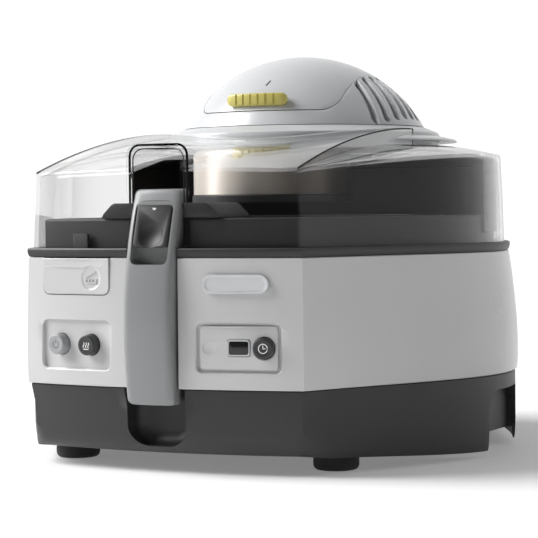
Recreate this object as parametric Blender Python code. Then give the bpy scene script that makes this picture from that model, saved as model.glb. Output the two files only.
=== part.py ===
"""A domed hot-air fryer with a lift-out bowl, modelled piece by piece.

Sizes are in millimetres and become metres when a mesh is made. The front faces -Y, the resting
plane is Z = 0, and X = 0 is the middle plane.
"""

import math

import bmesh
import bpy
from mathutils import Matrix, Vector

MM = 0.001

# Fits
GAP = 0.3             # between pieces that touch
SLIDE_GAP = 0.5       # round a piece that slides or turns
WALL = 3.5            # body and base shells
LID_WALL = 2.4        # clear lid

# Plan of the body
BOWL_RADIUS = 116.0
BOWL_Y = -17.3        # bowl and fan axis
SIDE_ROOM = 42.6      # bowl wall to the side of the body
FRONT_ROOM = 54.2     # bowl wall to the front of the body
BACK_ROOM = 87.0      # bowl wall to the back of the body
FRONT_HALF_WIDTH = 96.8
FRONT_SAGITTA = 11.9  # how far the front panel bows out between its corners
CORNER_FLARE = 23.0   # degrees that the sides open from straight back at the front corners
SIDE_BULGE = 4.5      # how much wider the body is below the trim than at it
BACK_HALF_WIDTH = 72.0

# Heights
FOOT_HEIGHT = 12.0
SIDE_SKIRT_DROP = 8.0  # how far the base hangs below its floor at the sides
BASE_HEIGHT = 41.0
BODY_HEIGHT = 80.6
TRIM_HEIGHT = 5.6
COLLAR_HEIGHT = 18.4
LID_FRONT_HEIGHT = 50.5
LID_CORNER_DROP = 2.0
LID_SIDE_RISE = 11.0
HOOD_RISE = 29.0       # lid corner to the end of the raised middle of the lid
DOME_TOP_RISE = 50.4

# Dome
DOME_Y = 35.2
DOME_RADIUS = 84.6     # where the dome meets its skirt
SKIRT_RADIUS = 95.7
SKIRT_FLANGE = 108.0
SKIRT_HEIGHT = 13.0
INSERT_HALF_WIDTH = 52.0
SLIDER_ANGLE = 12.0    # degrees each way
SLIDER_WIDTH = 42.0
SLIDER_HEIGHT = 8.6
SLIDER_STEM_ANGLE = 2.5
SLIDER_REACH = 7.0     # how far the slider stands out from the dome
DOME_WALL = 2.6
VENTS_PER_SIDE = 7
VENT_PITCH = 11.0
VENT_WIDTH = 4.6

# Handle
HANDLE_WIDTH = 33.2
HANDLE_DEPTH = 14.0
HANDLE_BOW = 17.5
HANDLE_LENGTH = 133.0
HANDLE_GAP = 1.1
HANDLE_SIDE_ROOM = 0.6
PIVOT_BELOW_TOP = 13.0
PIN_RADIUS = 2.0
WINDOW_WIDTH = 26.0
WINDOW_HEIGHT = 39.0
THUMB_HEIGHT = 28.0
WINDOW_BELOW_TOP = 7.5
WINDOW_DEPTH = 6.0

# Panels and buttons
PANEL_X = 57.5
PANEL_WIDTH = 54.0
PANEL_HEIGHT = 30.5
PANEL_DEPTH = 2.2
PANEL_RISE = 26.0      # top of the base to the middle of the panels
BUTTON_RADIUS = 6.5
LID_BUTTON_HEIGHT = 23.0
LID_BUTTON_THICKNESS = 3.0
BUTTON_REACH = 4.6     # how far the round buttons stand out
POWER_X = -70.5
HEATER_X = -46.5
TIMER_X = 73.6
DISPLAY_X = 57.6
DISPLAY_WIDTH = 15.0
DISPLAY_HEIGHT = 10.6

# Latch hook and mains inlet
HOOK_X = -PANEL_X
HOOK_HALF = 6.0
HOOK_INSET = LID_WALL + 4.0
HOOK_THICKNESS = 1.8
INLET_X = 38.0
INLET_HALF = 9.0

# Drive and heating
GEAR_RADIUS = 36.0
PINION_RADIUS = 9.0
GEAR_TEETH = 32
PINION_TEETH = 8
TOOTH_MESH = 1.8       # how far the teeth reach into each other's gaps
SPINDLE_RADIUS = 4.0
TUBE_RADIUS = SPINDLE_RADIUS + 3.0
SHIELD_RADIUS = 54.0
FAN_RADIUS = 38.0
HINGE_OVERHANG = 5.0   # hinge axis behind the body

# Levels that follow from the heights
BASE_TOP = FOOT_HEIGHT + BASE_HEIGHT
BODY_TOP = BASE_TOP + BODY_HEIGHT
TRIM_TOP = BODY_TOP + GAP + TRIM_HEIGHT
COLLAR_TOP = TRIM_TOP + COLLAR_HEIGHT
LID_CORNER_Z = TRIM_TOP + LID_FRONT_HEIGHT - LID_CORNER_DROP
HOOD_TOP = LID_CORNER_Z + HOOD_RISE
WING_TOP = HOOD_TOP - 11.0
DOME_BASE = HOOD_TOP + 2.6
DOME_TOP = DOME_BASE + DOME_TOP_RISE
WELL_FLOOR = BASE_TOP + 5.0
HANDLE_TOP = TRIM_TOP + 36.6
PANEL_Z = BASE_TOP + PANEL_RISE
PLATE_Z = WING_TOP - 2.4   # underside of the plate that carries fan and heater
SHIELD_BOTTOM = COLLAR_TOP + 15.0
INLET_Z = BASE_TOP + 22.0
ARCH_TOP = HANDLE_TOP + 27.5
LINING_TOP = WING_TOP - 13.0
INSERT_LOW = DOME_BASE + 9.5
SLIDER_Z = DOME_BASE + 17.5

# Places that follow from the plan
HALF_WIDTH = BOWL_RADIUS + SIDE_ROOM
FRONT_Y = BOWL_Y - BOWL_RADIUS - FRONT_ROOM
BACK_Y = BOWL_Y + BOWL_RADIUS + BACK_ROOM
FRONT_CURVE = (FRONT_HALF_WIDTH ** 2 + FRONT_SAGITTA ** 2) / (2 * FRONT_SAGITTA)
CORNER_Y = FRONT_Y + FRONT_SAGITTA
CHANNEL_HALF = HANDLE_WIDTH / 2 + HANDLE_GAP
CHANNEL_FLOOR = FRONT_Y + 14.0
PIVOT_Y = FRONT_Y + 13.0
PIVOT_Z = HANDLE_TOP - PIVOT_BELOW_TOP
WELL_RADIUS = BOWL_RADIUS + 4.0
LINING_START = BOWL_Y + 80.0   # the lid's dark lining covers its wall behind here
HOOD_END_Y = DOME_Y - 24.0
HOOD_HALF = FRONT_HALF_WIDTH - 3.8
ARCH_HALF = CHANNEL_HALF + LID_WALL
HINGE_Y = BACK_Y + HINGE_OVERHANG
HINGE_Z = TRIM_TOP + 6.5
GEAR_Z = FOOT_HEIGHT + 24.0
PINION_X = GEAR_RADIUS + PINION_RADIUS - TOOTH_MESH

# Facets of large and small round pieces
ROUND = 36
SMALL_ROUND = 16

# Colours (linear), roughness and metallic value of each material
FINISHES = {
    "white_plastic": ((0.62, 0.62, 0.62), 0.35, 0.0),
    "grey_plastic": ((0.42, 0.43, 0.44), 0.38, 0.0),
    "dark_plastic": ((0.045, 0.045, 0.048), 0.5, 0.0),
    "black_plastic": ((0.015, 0.015, 0.016), 0.4, 0.0),
    "lime_plastic": ((0.55, 0.5, 0.03), 0.35, 0.0),
    "clear_plastic": ((0.8, 0.82, 0.84), 0.08, 0.0),
    "rubber": ((0.02, 0.02, 0.02), 0.8, 0.0),
    "steel": ((0.55, 0.55, 0.54), 0.3, 1.0),
    "warm_steel": ((0.55, 0.5, 0.45), 0.35, 1.0),
    "coated_bowl": ((0.03, 0.03, 0.03), 0.45, 0.0),
    "circuit_board": ((0.02, 0.12, 0.05), 0.5, 0.0),
}


# ---------------------------------------------------------------- making objects

def finish(name, material_name):
    """The material of one object, named after it."""
    colour, roughness, metallic = FINISHES[material_name]
    material = bpy.data.materials.new(name + "_" + material_name)
    material.use_nodes = True
    shader = material.node_tree.nodes["Principled BSDF"]
    shader.inputs["Base Color"].default_value = (*colour, 1.0)
    shader.inputs["Roughness"].default_value = roughness
    shader.inputs["Metallic"].default_value = metallic
    return material


def make(name, bm, material_name=None, place=None, smooth=False):
    """Turn a bmesh in millimetres into an object, moved by place, a matrix in millimetres."""
    bmesh.ops.recalc_face_normals(bm, faces=bm.faces)
    bmesh.ops.scale(bm, vec=(MM, MM, MM), verts=bm.verts)
    mesh = bpy.data.meshes.new(name)
    bm.to_mesh(mesh)
    bm.free()
    obj = bpy.data.objects.new(name, mesh)
    bpy.context.scene.collection.objects.link(obj)
    if place is not None:
        scaled = place.copy()
        scaled.translation = place.translation * MM
        obj.matrix_world = scaled
    if material_name is None:
        obj.hide_render = True
        obj.display_type = 'WIRE'
    else:
        mesh.materials.append(finish(name, material_name))
    if smooth:
        mesh.shade_smooth()
        mesh.set_sharp_from_angle(angle=math.radians(35))
    return obj


def combine(target, tool, operation='DIFFERENCE'):
    modifier = target.modifiers.new(tool.name, 'BOOLEAN')
    modifier.object = tool
    modifier.operation = operation
    modifier.solver = 'EXACT'


def at(x, y, z, turn=0.0):
    """A place in millimetres, turned about Z by an angle in radians."""
    return Matrix.Translation((x, y, z)) @ Matrix.Rotation(turn, 4, 'Z')


# ---------------------------------------------------------------- solids

def loft(bm, rings, close=False, cap=True):
    """Skin rings with equal numbers of points; close joins the last ring to the first."""
    loops = [[bm.verts.new(point) for point in ring] for ring in rings]
    count = len(loops[0])
    following = loops[1:] + (loops[:1] if close else [])
    for lower, upper in zip(loops, following):
        for i in range(count):
            j = (i + 1) % count
            bm.faces.new((lower[i], lower[j], upper[j], upper[i]))
    if cap and not close:
        bm.faces.new(list(reversed(loops[0])))
        bm.faces.new(loops[-1])


def at_height(points, z):
    """Lift plan points to a height, which may be a number or a function of the plan point."""
    return [(x, y, z(x, y) if callable(z) else z) for x, y in points]


def circle(radius, count, centre=(0.0, 0.0)):
    steps = [2 * math.pi * i / count for i in range(count)]
    return [(centre[0] + radius * math.cos(a), centre[1] + radius * math.sin(a)) for a in steps]


def turned(bm, profile, count=SMALL_ROUND, close=True):
    """Turn (radius, z) points about the Z axis; the profile closes on itself or on the axis."""
    rings = []
    for radius, z in profile:
        if radius < 1e-6:
            rings.append([bm.verts.new((0, 0, z))])
        else:
            rings.append([bm.verts.new((x, y, z)) for x, y in circle(radius, count)])
    pairs = list(zip(rings, rings[1:]))
    if close:
        pairs.append((rings[-1], rings[0]))
    for first, second in pairs:
        for i in range(count):
            j = (i + 1) % count
            corners = [first[i % len(first)], first[j % len(first)],
                       second[j % len(second)], second[i % len(second)]]
            unique = list(dict.fromkeys(corners))
            if len(unique) > 2:
                bm.faces.new(unique)


def cylinder(bm, radius, z0, z1, count=SMALL_ROUND, centre=(0.0, 0.0)):
    points = circle(radius, count, centre)
    loft(bm, [at_height(points, z0), at_height(points, z1)])


def prism(bm, points, axis, start, end):
    """Extrude a 2D outline along an axis: X takes (y, z), Y takes (x, z) and Z takes (x, y)."""
    order = {'X': lambda a, b, t: (t, a, b), 'Y': lambda a, b, t: (a, t, b),
             'Z': lambda a, b, t: (a, b, t)}[axis]
    loft(bm, [[order(a, b, t) for a, b in points] for t in (start, end)])


def block(bm, x0, x1, y0, y1, z0, z1):
    prism(bm, [(x0, y0), (x1, y0), (x1, y1), (x0, y1)], 'Z', z0, z1)


def rounded(x0, x1, y0, y1, radius, steps=4):
    """A rectangle with round corners, counter-clockwise."""
    centres = ((x1 - radius, y0 + radius, -90), (x1 - radius, y1 - radius, 0),
               (x0 + radius, y1 - radius, 90), (x0 + radius, y0 + radius, 180))
    points = []
    for cx, cy, start in centres:
        for i in range(steps + 1):
            angle = math.radians(start + 90 * i / steps)
            points.append((cx + radius * math.cos(angle), cy + radius * math.sin(angle)))
    return points


def bezier(start, start_handle, end_handle, end, steps):
    """Points along a curve between two ends, without the first."""
    points = []
    for i in range(1, steps + 1):
        t = i / steps
        weights = ((1 - t) ** 3, 3 * t * (1 - t) ** 2, 3 * t ** 2 * (1 - t), t ** 3)
        corners = (start, start_handle, end_handle, end)
        points.append(tuple(sum(w * c[k] for w, c in zip(weights, corners)) for k in (0, 1)))
    return points


# ---------------------------------------------------------------- plan of the body

def front_y(x, inset=0.0):
    """The bowed front panel's Y at a given X."""
    radius = FRONT_CURVE - inset
    return FRONT_Y + FRONT_CURVE - math.sqrt(radius ** 2 - x ** 2)


def front_turn(x):
    return math.asin(x / FRONT_CURVE)


def on_front(x, z):
    """A frame on the front panel: X along it, Y into the body and Z up."""
    return at(x, front_y(x), z, front_turn(x))


def base_outline():
    """The body seen from above, counter-clockwise from the middle of the front."""
    steps = 6
    right = [(FRONT_HALF_WIDTH * i / steps, front_y(FRONT_HALF_WIDTH * i / steps))
             for i in range(steps + 1)]
    flare = math.radians(CORNER_FLARE)
    widest = (HALF_WIDTH, BOWL_Y + 12.0)
    reach = 0.5 * (widest[1] - CORNER_Y)
    leave = (FRONT_HALF_WIDTH + reach * math.sin(flare), CORNER_Y + reach * math.cos(flare))
    right += bezier(right[-1], leave, (widest[0], widest[1] - 0.6 * reach), widest, 7)
    back_corner = (BACK_HALF_WIDTH + 13.0, BACK_Y - 12.0)
    run = back_corner[1] - widest[1]
    right += bezier(widest, (widest[0], widest[1] + 0.32 * run),
                    (back_corner[0] + 0.14 * run, back_corner[1] - 0.28 * run), back_corner, 6)
    right += bezier(back_corner, (back_corner[0] - 4.0, back_corner[1] + 8.0),
                    (BACK_HALF_WIDTH, BACK_Y), (BACK_HALF_WIDTH - 8.0, BACK_Y), 3)
    right.append((0.0, BACK_Y))
    return right + [(-x, y) for x, y in reversed(right[1:-1])]


OUTLINE = base_outline()


def side_share(x, y):
    """0 along the front panel, rising to 1 at the widest part of the sides and behind it."""
    if y > BOWL_Y:
        return 1.0
    share = (abs(x) - FRONT_HALF_WIDTH) / (HALF_WIDTH - FRONT_HALF_WIDTH)
    return min(1.0, max(0.0, share))


def outline(inset, bulge=0.0):
    """The body outline moved inwards by inset, with its sides moved out by bulge."""
    count = len(OUTLINE)
    moved = []
    for i, point in enumerate(OUTLINE):
        here = Vector(point)
        before = (here - Vector(OUTLINE[i - 1])).normalized()
        after = (Vector(OUTLINE[(i + 1) % count]) - here).normalized()
        normals = [Vector((d.y, -d.x)) for d in (before, after)]
        mitre = (normals[0] + normals[1]) / (1 + normals[0].dot(normals[1]))
        shift = inset - bulge * side_share(*point)
        moved.append(tuple(here - mitre * shift))
    return moved


def towards(points, radius, centre_y):
    """Points on a circle about (0, centre_y), each in the direction of a given point."""
    angles = [math.atan2(y - centre_y, x) for x, y in points]
    return [(radius * math.cos(a), centre_y + radius * math.sin(a)) for a in angles]


def blend(first, second, share):
    return [(a[0] + (b[0] - a[0]) * share, a[1] + (b[1] - a[1]) * share)
            for a, b in zip(first, second)]


def front_band(bm, x0, x1, z0, z1, outer, inner, steps=6):
    """A solid between two insets of the bowed front, from x0 to x1."""
    xs = [x0 + (x1 - x0) * i / steps for i in range(steps + 1)]
    points = [(x, front_y(x, outer)) for x in xs] + [(x, front_y(x, inner)) for x in reversed(xs)]
    prism(bm, points, 'Z', z0, z1)


def side_band(bm, side, y0, y1, z0, z1, outer, inner):
    """A solid between two insets of one side of the body, from y0 to y1."""
    picks = [i for i, (x, y) in enumerate(OUTLINE) if side * x > 0 and y0 < y < y1]
    outside, inside = outline(outer, SIDE_BULGE), outline(inner, SIDE_BULGE)
    points = [outside[i] for i in picks] + [inside[i] for i in reversed(picks)]
    prism(bm, points, 'Z', z0, z1)


# ---------------------------------------------------------------- base and body

def base_tray():
    """Dark tray with a floor, side skirts, a finger scoop and two grip pockets."""
    def low(x, y):
        return FOOT_HEIGHT - SIDE_SKIRT_DROP * side_share(x, y)

    def tuck(depth):
        shares = [min(1.0, 4 * side_share(*p)) for p in OUTLINE]
        return [tuple(Vector(a).lerp(Vector(b), share)) for a, b, share in
                zip(outline(depth, SIDE_BULGE), outline(2.5 + depth / 4, SIDE_BULGE), shares)]

    bm = bmesh.new()
    loft(bm, [
        at_height(tuck(26.0), FOOT_HEIGHT),
        at_height(tuck(22.0), lambda x, y: low(x, y) + 0.6),
        at_height(tuck(14.0), low),
        at_height(tuck(6.5), lambda x, y: low(x, y) + 5.0),
        at_height(tuck(3.2), lambda x, y: low(x, y) + 14.0),
        at_height(outline(2.5, SIDE_BULGE), BASE_TOP),
        at_height(outline(2.5 + WALL, SIDE_BULGE), BASE_TOP),
        at_height(outline(4.5 + WALL, SIDE_BULGE), FOOT_HEIGHT + 16.0),
        at_height(outline(18.0, SIDE_BULGE), FOOT_HEIGHT + 3.0),
    ])
    tray = make("base_tray", bm, "dark_plastic", smooth=True)

    scoop_half = CHANNEL_HALF + 2.3
    scoop_depth = 17.0
    backs = bmesh.new()
    block(backs, -scoop_half - WALL, scoop_half + WALL, FRONT_Y + 6.0, FRONT_Y + scoop_depth + WALL,
          FOOT_HEIGHT + 1.5, BASE_TOP)
    for side in (-1, 1):
        side_band(backs, side, BOWL_Y - 30.0, BOWL_Y + 90.0, FOOT_HEIGHT + 1.5, BASE_TOP - 3.0,
                  2.5 + WALL / 2, 20.0)
    combine(tray, make("base_pocket_backs", backs), 'UNION')

    cuts = bmesh.new()
    prism(cuts, rounded(-scoop_half, scoop_half, FOOT_HEIGHT + 4.5, BASE_TOP + 12.0, 8.0), 'Y',
          FRONT_Y - 20.0, FRONT_Y + scoop_depth)
    for side in (-1, 1):
        x0, x1 = sorted((side * (HALF_WIDTH - 13.0), side * (HALF_WIDTH + 30.0)))
        prism(cuts, rounded(BOWL_Y - 10.0, BOWL_Y + 68.0, -20.0, BASE_TOP - 10.0, 14.0), 'X', x0, x1)
    combine(tray, make("base_pocket_cuts", cuts))
    return tray


def body_shell():
    """Light shell with the handle channel, the panel recesses and the button openings."""
    bm = bmesh.new()
    bottom = BASE_TOP + GAP
    loft(bm, [
        at_height(outline(-1.0, SIDE_BULGE - 1.0), bottom),
        at_height(outline(-1.5, SIDE_BULGE), bottom + 0.2 * BODY_HEIGHT),
        at_height(outline(-1.1, SIDE_BULGE - 0.6), bottom + 0.42 * BODY_HEIGHT),
        at_height(outline(-0.6, 0.6 * SIDE_BULGE), bottom + 0.66 * BODY_HEIGHT),
        at_height(outline(0.0), BODY_TOP),
        at_height(outline(WALL), BODY_TOP),
        at_height(outline(WALL - 0.6, 0.6 * SIDE_BULGE), bottom + 0.66 * BODY_HEIGHT),
        at_height(outline(WALL - 1.0, SIDE_BULGE - 1.0), bottom),
    ], close=True)
    shell = make("body_shell", bm, "white_plastic", smooth=True)

    back = bmesh.new()
    block(back, -CHANNEL_HALF - WALL, CHANNEL_HALF + WALL, FRONT_Y + 2.0, CHANNEL_FLOOR + WALL,
          bottom, BODY_TOP)
    combine(shell, make("channel_back", back), 'UNION')

    cuts = bmesh.new()
    block(cuts, -CHANNEL_HALF, CHANNEL_HALF, FRONT_Y - 20.0, CHANNEL_FLOOR,
          bottom - 5.0, BODY_TOP + 5.0)
    front_band(cuts, -PANEL_X - PANEL_WIDTH / 2, -PANEL_X + PANEL_WIDTH / 2,
               BODY_TOP - LID_BUTTON_HEIGHT - SLIDE_GAP, BODY_TOP + 5.0, -20.0, WALL + 10.0)
    combine(shell, make("channel_cut", cuts))

    for side, name in ((-1, "left"), (1, "right")):
        recess = bmesh.new()
        prism(recess, rounded(-PANEL_WIDTH / 2, PANEL_WIDTH / 2, -PANEL_HEIGHT / 2,
                              PANEL_HEIGHT / 2, 3.0), 'Y', -20.0, PANEL_DEPTH)
        place = on_front(side * PANEL_X, PANEL_Z)
        combine(shell, make(name + "_recess_cut", recess, place=place))

    holes = bmesh.new()
    for x, z in ((POWER_X, PANEL_Z), (HEATER_X, PANEL_Z), (TIMER_X, PANEL_Z)):
        button_hole(holes, x, z)
    combine(shell, make("button_holes_cut", holes))
    window = bmesh.new()
    half = DISPLAY_WIDTH / 2 - 1.0
    tall = DISPLAY_HEIGHT / 2 - 1.0
    block(window, -half, half, -20.0, 20.0, -tall, tall)
    combine(shell, make("display_hole_cut", window, place=on_front(DISPLAY_X, PANEL_Z)))
    inlet = bmesh.new()
    block(inlet, INLET_X - INLET_HALF, INLET_X + INLET_HALF, BACK_Y - 20.0, BACK_Y + 20.0,
          INLET_Z - INLET_HALF, INLET_Z + INLET_HALF)
    combine(shell, make("inlet_hole_cut", inlet))
    return shell


def button_hole(bm, x, z, radius=BUTTON_RADIUS + SLIDE_GAP):
    place = on_front(x, z)
    points = circle(radius, SMALL_ROUND)
    loft(bm, [[tuple(place @ Vector((a, y, b))) for a, b in points] for y in (-20.0, 20.0)])


def trim_band():
    """Dark flange between body and lid, open at the handle."""
    z = BODY_TOP + GAP
    bm = bmesh.new()
    loft(bm, [at_height(outline(0.4), z), at_height(outline(-0.9), TRIM_TOP - 1.0),
              at_height(outline(-0.5), TRIM_TOP), at_height(outline(8.0), TRIM_TOP),
              at_height(outline(8.0), z)], close=True)
    band = make("trim_band", bm, "dark_plastic", smooth=True)
    cuts = bmesh.new()
    block(cuts, -CHANNEL_HALF, CHANNEL_HALF, FRONT_Y - 20.0, FRONT_Y + 30.0, z - 5.0, TRIM_TOP + 5.0)
    combine(band, make("trim_handle_cut", cuts))
    hook = bmesh.new()
    front_band(hook, HOOK_X - HOOK_HALF - 1.0, HOOK_X + HOOK_HALF + 1.0, z - 5.0, TRIM_TOP + 5.0,
               HOOK_INSET - 1.0, HOOK_INSET + 12.0)
    combine(band, make("trim_hook_cut", hook))
    return band


def inner_collar():
    """Dark collar inside the lid, with a deck that leads to the bowl well."""
    outer = outline(10.0)
    well = towards(outer, WELL_RADIUS, BOWL_Y)
    lip = towards(outer, WELL_RADIUS + 2.0, BOWL_Y)
    bm = bmesh.new()
    loft(bm, [at_height(outer, BODY_TOP + GAP), at_height(outer, COLLAR_TOP - 1.0),
              at_height(outline(11.0), COLLAR_TOP), at_height(lip, COLLAR_TOP - 2.0),
              at_height(well, COLLAR_TOP - 3.0), at_height(well, COLLAR_TOP - 8.0),
              at_height(lip, COLLAR_TOP - 8.0), at_height(outline(13.0), COLLAR_TOP - 4.0),
              at_height(outline(13.0), BODY_TOP + GAP)], close=True)
    collar = make("inner_collar", bm, "dark_plastic", smooth=True)
    cuts = bmesh.new()
    block(cuts, -CHANNEL_HALF, CHANNEL_HALF, FRONT_Y - 5.0, PIVOT_Y + 19.0,
          TRIM_TOP - 20.0, COLLAR_TOP + 10.0)
    combine(collar, make("collar_handle_cut", cuts))
    return collar


def foot(name, x, y):
    bm = bmesh.new()
    turned(bm, [(4.0, 0.0), (13.0, 0.0), (14.5, 1.5), (14.0, FOOT_HEIGHT - GAP),
                (2.5, FOOT_HEIGHT - GAP), (2.5, 4.0), (4.0, 4.0)])
    return make(name, bm, "rubber", at(x, y, 0.0), smooth=True)


def foot_screw(name, x, y):
    """Pan-head screw that holds a foot from below, short of the foot's own bottom face."""
    bm = bmesh.new()
    turned(bm, [(0.0, 1.4), (3.0, 1.4), (3.4, 2.0), (3.4, 3.6), (1.8, 3.6),
                (1.8, FOOT_HEIGHT - 1.0), (0.0, FOOT_HEIGHT - 1.0)], close=False)
    return make(name, bm, "steel", at(x, y, 0.0), smooth=True)


def hinge_brackets():
    """Two knuckles behind the body and the pin that joins them to the lid."""
    for side, name in ((-1, "left"), (1, "right")):
        bm = bmesh.new()
        profile = [(BACK_Y + 1.0 + GAP + 0.45 * SIDE_BULGE, BODY_TOP - 12.0),
                   (HINGE_Y + 4.0, BODY_TOP - 9.0)]
        arc = [math.radians(a) for a in range(0, 181, 30)]
        profile += [(HINGE_Y + 6.0 * math.cos(a), HINGE_Z + 6.0 * math.sin(a)) for a in arc]
        profile += [(HINGE_Y - 6.0, TRIM_TOP + GAP), (BACK_Y + 1.0 + GAP, TRIM_TOP + GAP)]
        x0, x1 = sorted((side * 36.0, side * 48.0))
        prism(bm, profile, 'X', x0, x1)
        bracket = make("hinge_bracket_" + name, bm, "dark_plastic")
        bore = bmesh.new()
        prism(bore, circle(2.5 + GAP, 14, (HINGE_Y, HINGE_Z)), 'X', side * 30.0, side * 55.0)
        combine(bracket, make("hinge_bore_cut_" + name, bore))
    bm = bmesh.new()
    prism(bm, circle(2.5, 14), 'X', -50.0, 50.0)
    make("hinge_pin", bm, "steel", at(0.0, HINGE_Y, HINGE_Z), smooth=True)


def mains_inlet():
    """Two-pin appliance inlet in the back wall."""
    bm = bmesh.new()
    reach = INLET_HALF - SLIDE_GAP
    prism(bm, rounded(-reach, reach, -reach, reach, 2.5), 'Y', -14.0, WALL + 1.0)
    inlet = make("mains_inlet", bm, "black_plastic", at(INLET_X, BACK_Y, INLET_Z))
    cup = bmesh.new()
    prism(cup, rounded(-6.5, 6.5, -4.5, 4.5, 2.0), 'Y', -9.0, 20.0)
    combine(inlet, make("inlet_socket_cut", cup, place=at(INLET_X, BACK_Y, INLET_Z)))


# ---------------------------------------------------------------- panels and buttons

def control_panel():
    """Fascia, display, blank badge, the boards behind them and every push button."""
    plate = bmesh.new()
    prism(plate, rounded(-PANEL_WIDTH / 2 + 2.0, PANEL_WIDTH / 2 - 2.0, -PANEL_HEIGHT / 2 + 2.0,
                         PANEL_HEIGHT / 2 - 2.0, 2.0), 'Y', 0.9, PANEL_DEPTH - GAP)
    fascia = make("control_fascia", plate, "white_plastic", on_front(PANEL_X, PANEL_Z))
    holes = bmesh.new()
    button_hole(holes, TIMER_X, PANEL_Z)
    combine(fascia, make("fascia_button_cut", holes))
    window = bmesh.new()
    block(window, -DISPLAY_WIDTH / 2, DISPLAY_WIDTH / 2, -20.0, 20.0,
          -DISPLAY_HEIGHT / 2, DISPLAY_HEIGHT / 2)
    combine(fascia, make("fascia_display_cut", window, place=on_front(DISPLAY_X, PANEL_Z)))

    lens = bmesh.new()
    half = DISPLAY_WIDTH / 2 - 1.0 - GAP
    tall = DISPLAY_HEIGHT / 2 - 1.0 - GAP
    block(lens, -half, half, 1.2, WALL + 4.0, -tall, tall)
    make("timer_display", lens, "black_plastic", on_front(DISPLAY_X, PANEL_Z))

    badge = bmesh.new()
    prism(badge, rounded(-21.2, 21.2, -5.8, 5.8, 5.6, 6), 'Y', -3.2, -1.0 - GAP)
    make("badge_plate", badge, "grey_plastic", on_front(56.3, BODY_TOP - 15.8))

    board = bmesh.new()
    block(board, -26.0, 26.0, 16.0, 17.6, -14.0, 14.0)
    make("control_board", board, "circuit_board", on_front(PANEL_X, PANEL_Z))
    switches = bmesh.new()
    block(switches, -24.0, 24.0, 16.0, 26.0, -9.0, 9.0)
    make("switch_block", switches, "black_plastic", on_front(-PANEL_X, PANEL_Z))

    for name, x, material_name in (("power_button", POWER_X, "grey_plastic"),
                                   ("lower_heater_button", HEATER_X, "black_plastic"),
                                   ("timer_button", TIMER_X, "dark_plastic")):
        bm = bmesh.new()
        turned(bm, [(0.0, -BUTTON_REACH), (BUTTON_RADIUS - 1.2, -BUTTON_REACH),
                    (BUTTON_RADIUS, 1.2 - BUTTON_REACH), (BUTTON_RADIUS, 12.0), (0.0, 12.0)],
               close=False)
        bmesh.ops.rotate(bm, matrix=Matrix.Rotation(math.radians(-90), 3, 'X'), verts=bm.verts)
        make(name, bm, material_name, on_front(x, PANEL_Z), smooth=True)

    lid_button = bmesh.new()
    half = PANEL_WIDTH / 2 - SLIDE_GAP
    front_band(lid_button, -PANEL_X - half, -PANEL_X + half, BODY_TOP - LID_BUTTON_HEIGHT,
               BODY_TOP - 0.4, 0.0, LID_BUTTON_THICKNESS)
    make("lid_button", lid_button, "white_plastic")

    catch = bmesh.new()
    front_band(catch, HOOK_X - 14.0, HOOK_X + 14.0, BODY_TOP - 21.0, BODY_TOP - 16.0,
               LID_BUTTON_THICKNESS + GAP, 14.0)
    make("latch_catch", catch, "grey_plastic")


# ---------------------------------------------------------------- well, bowl, handle and drive

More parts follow.
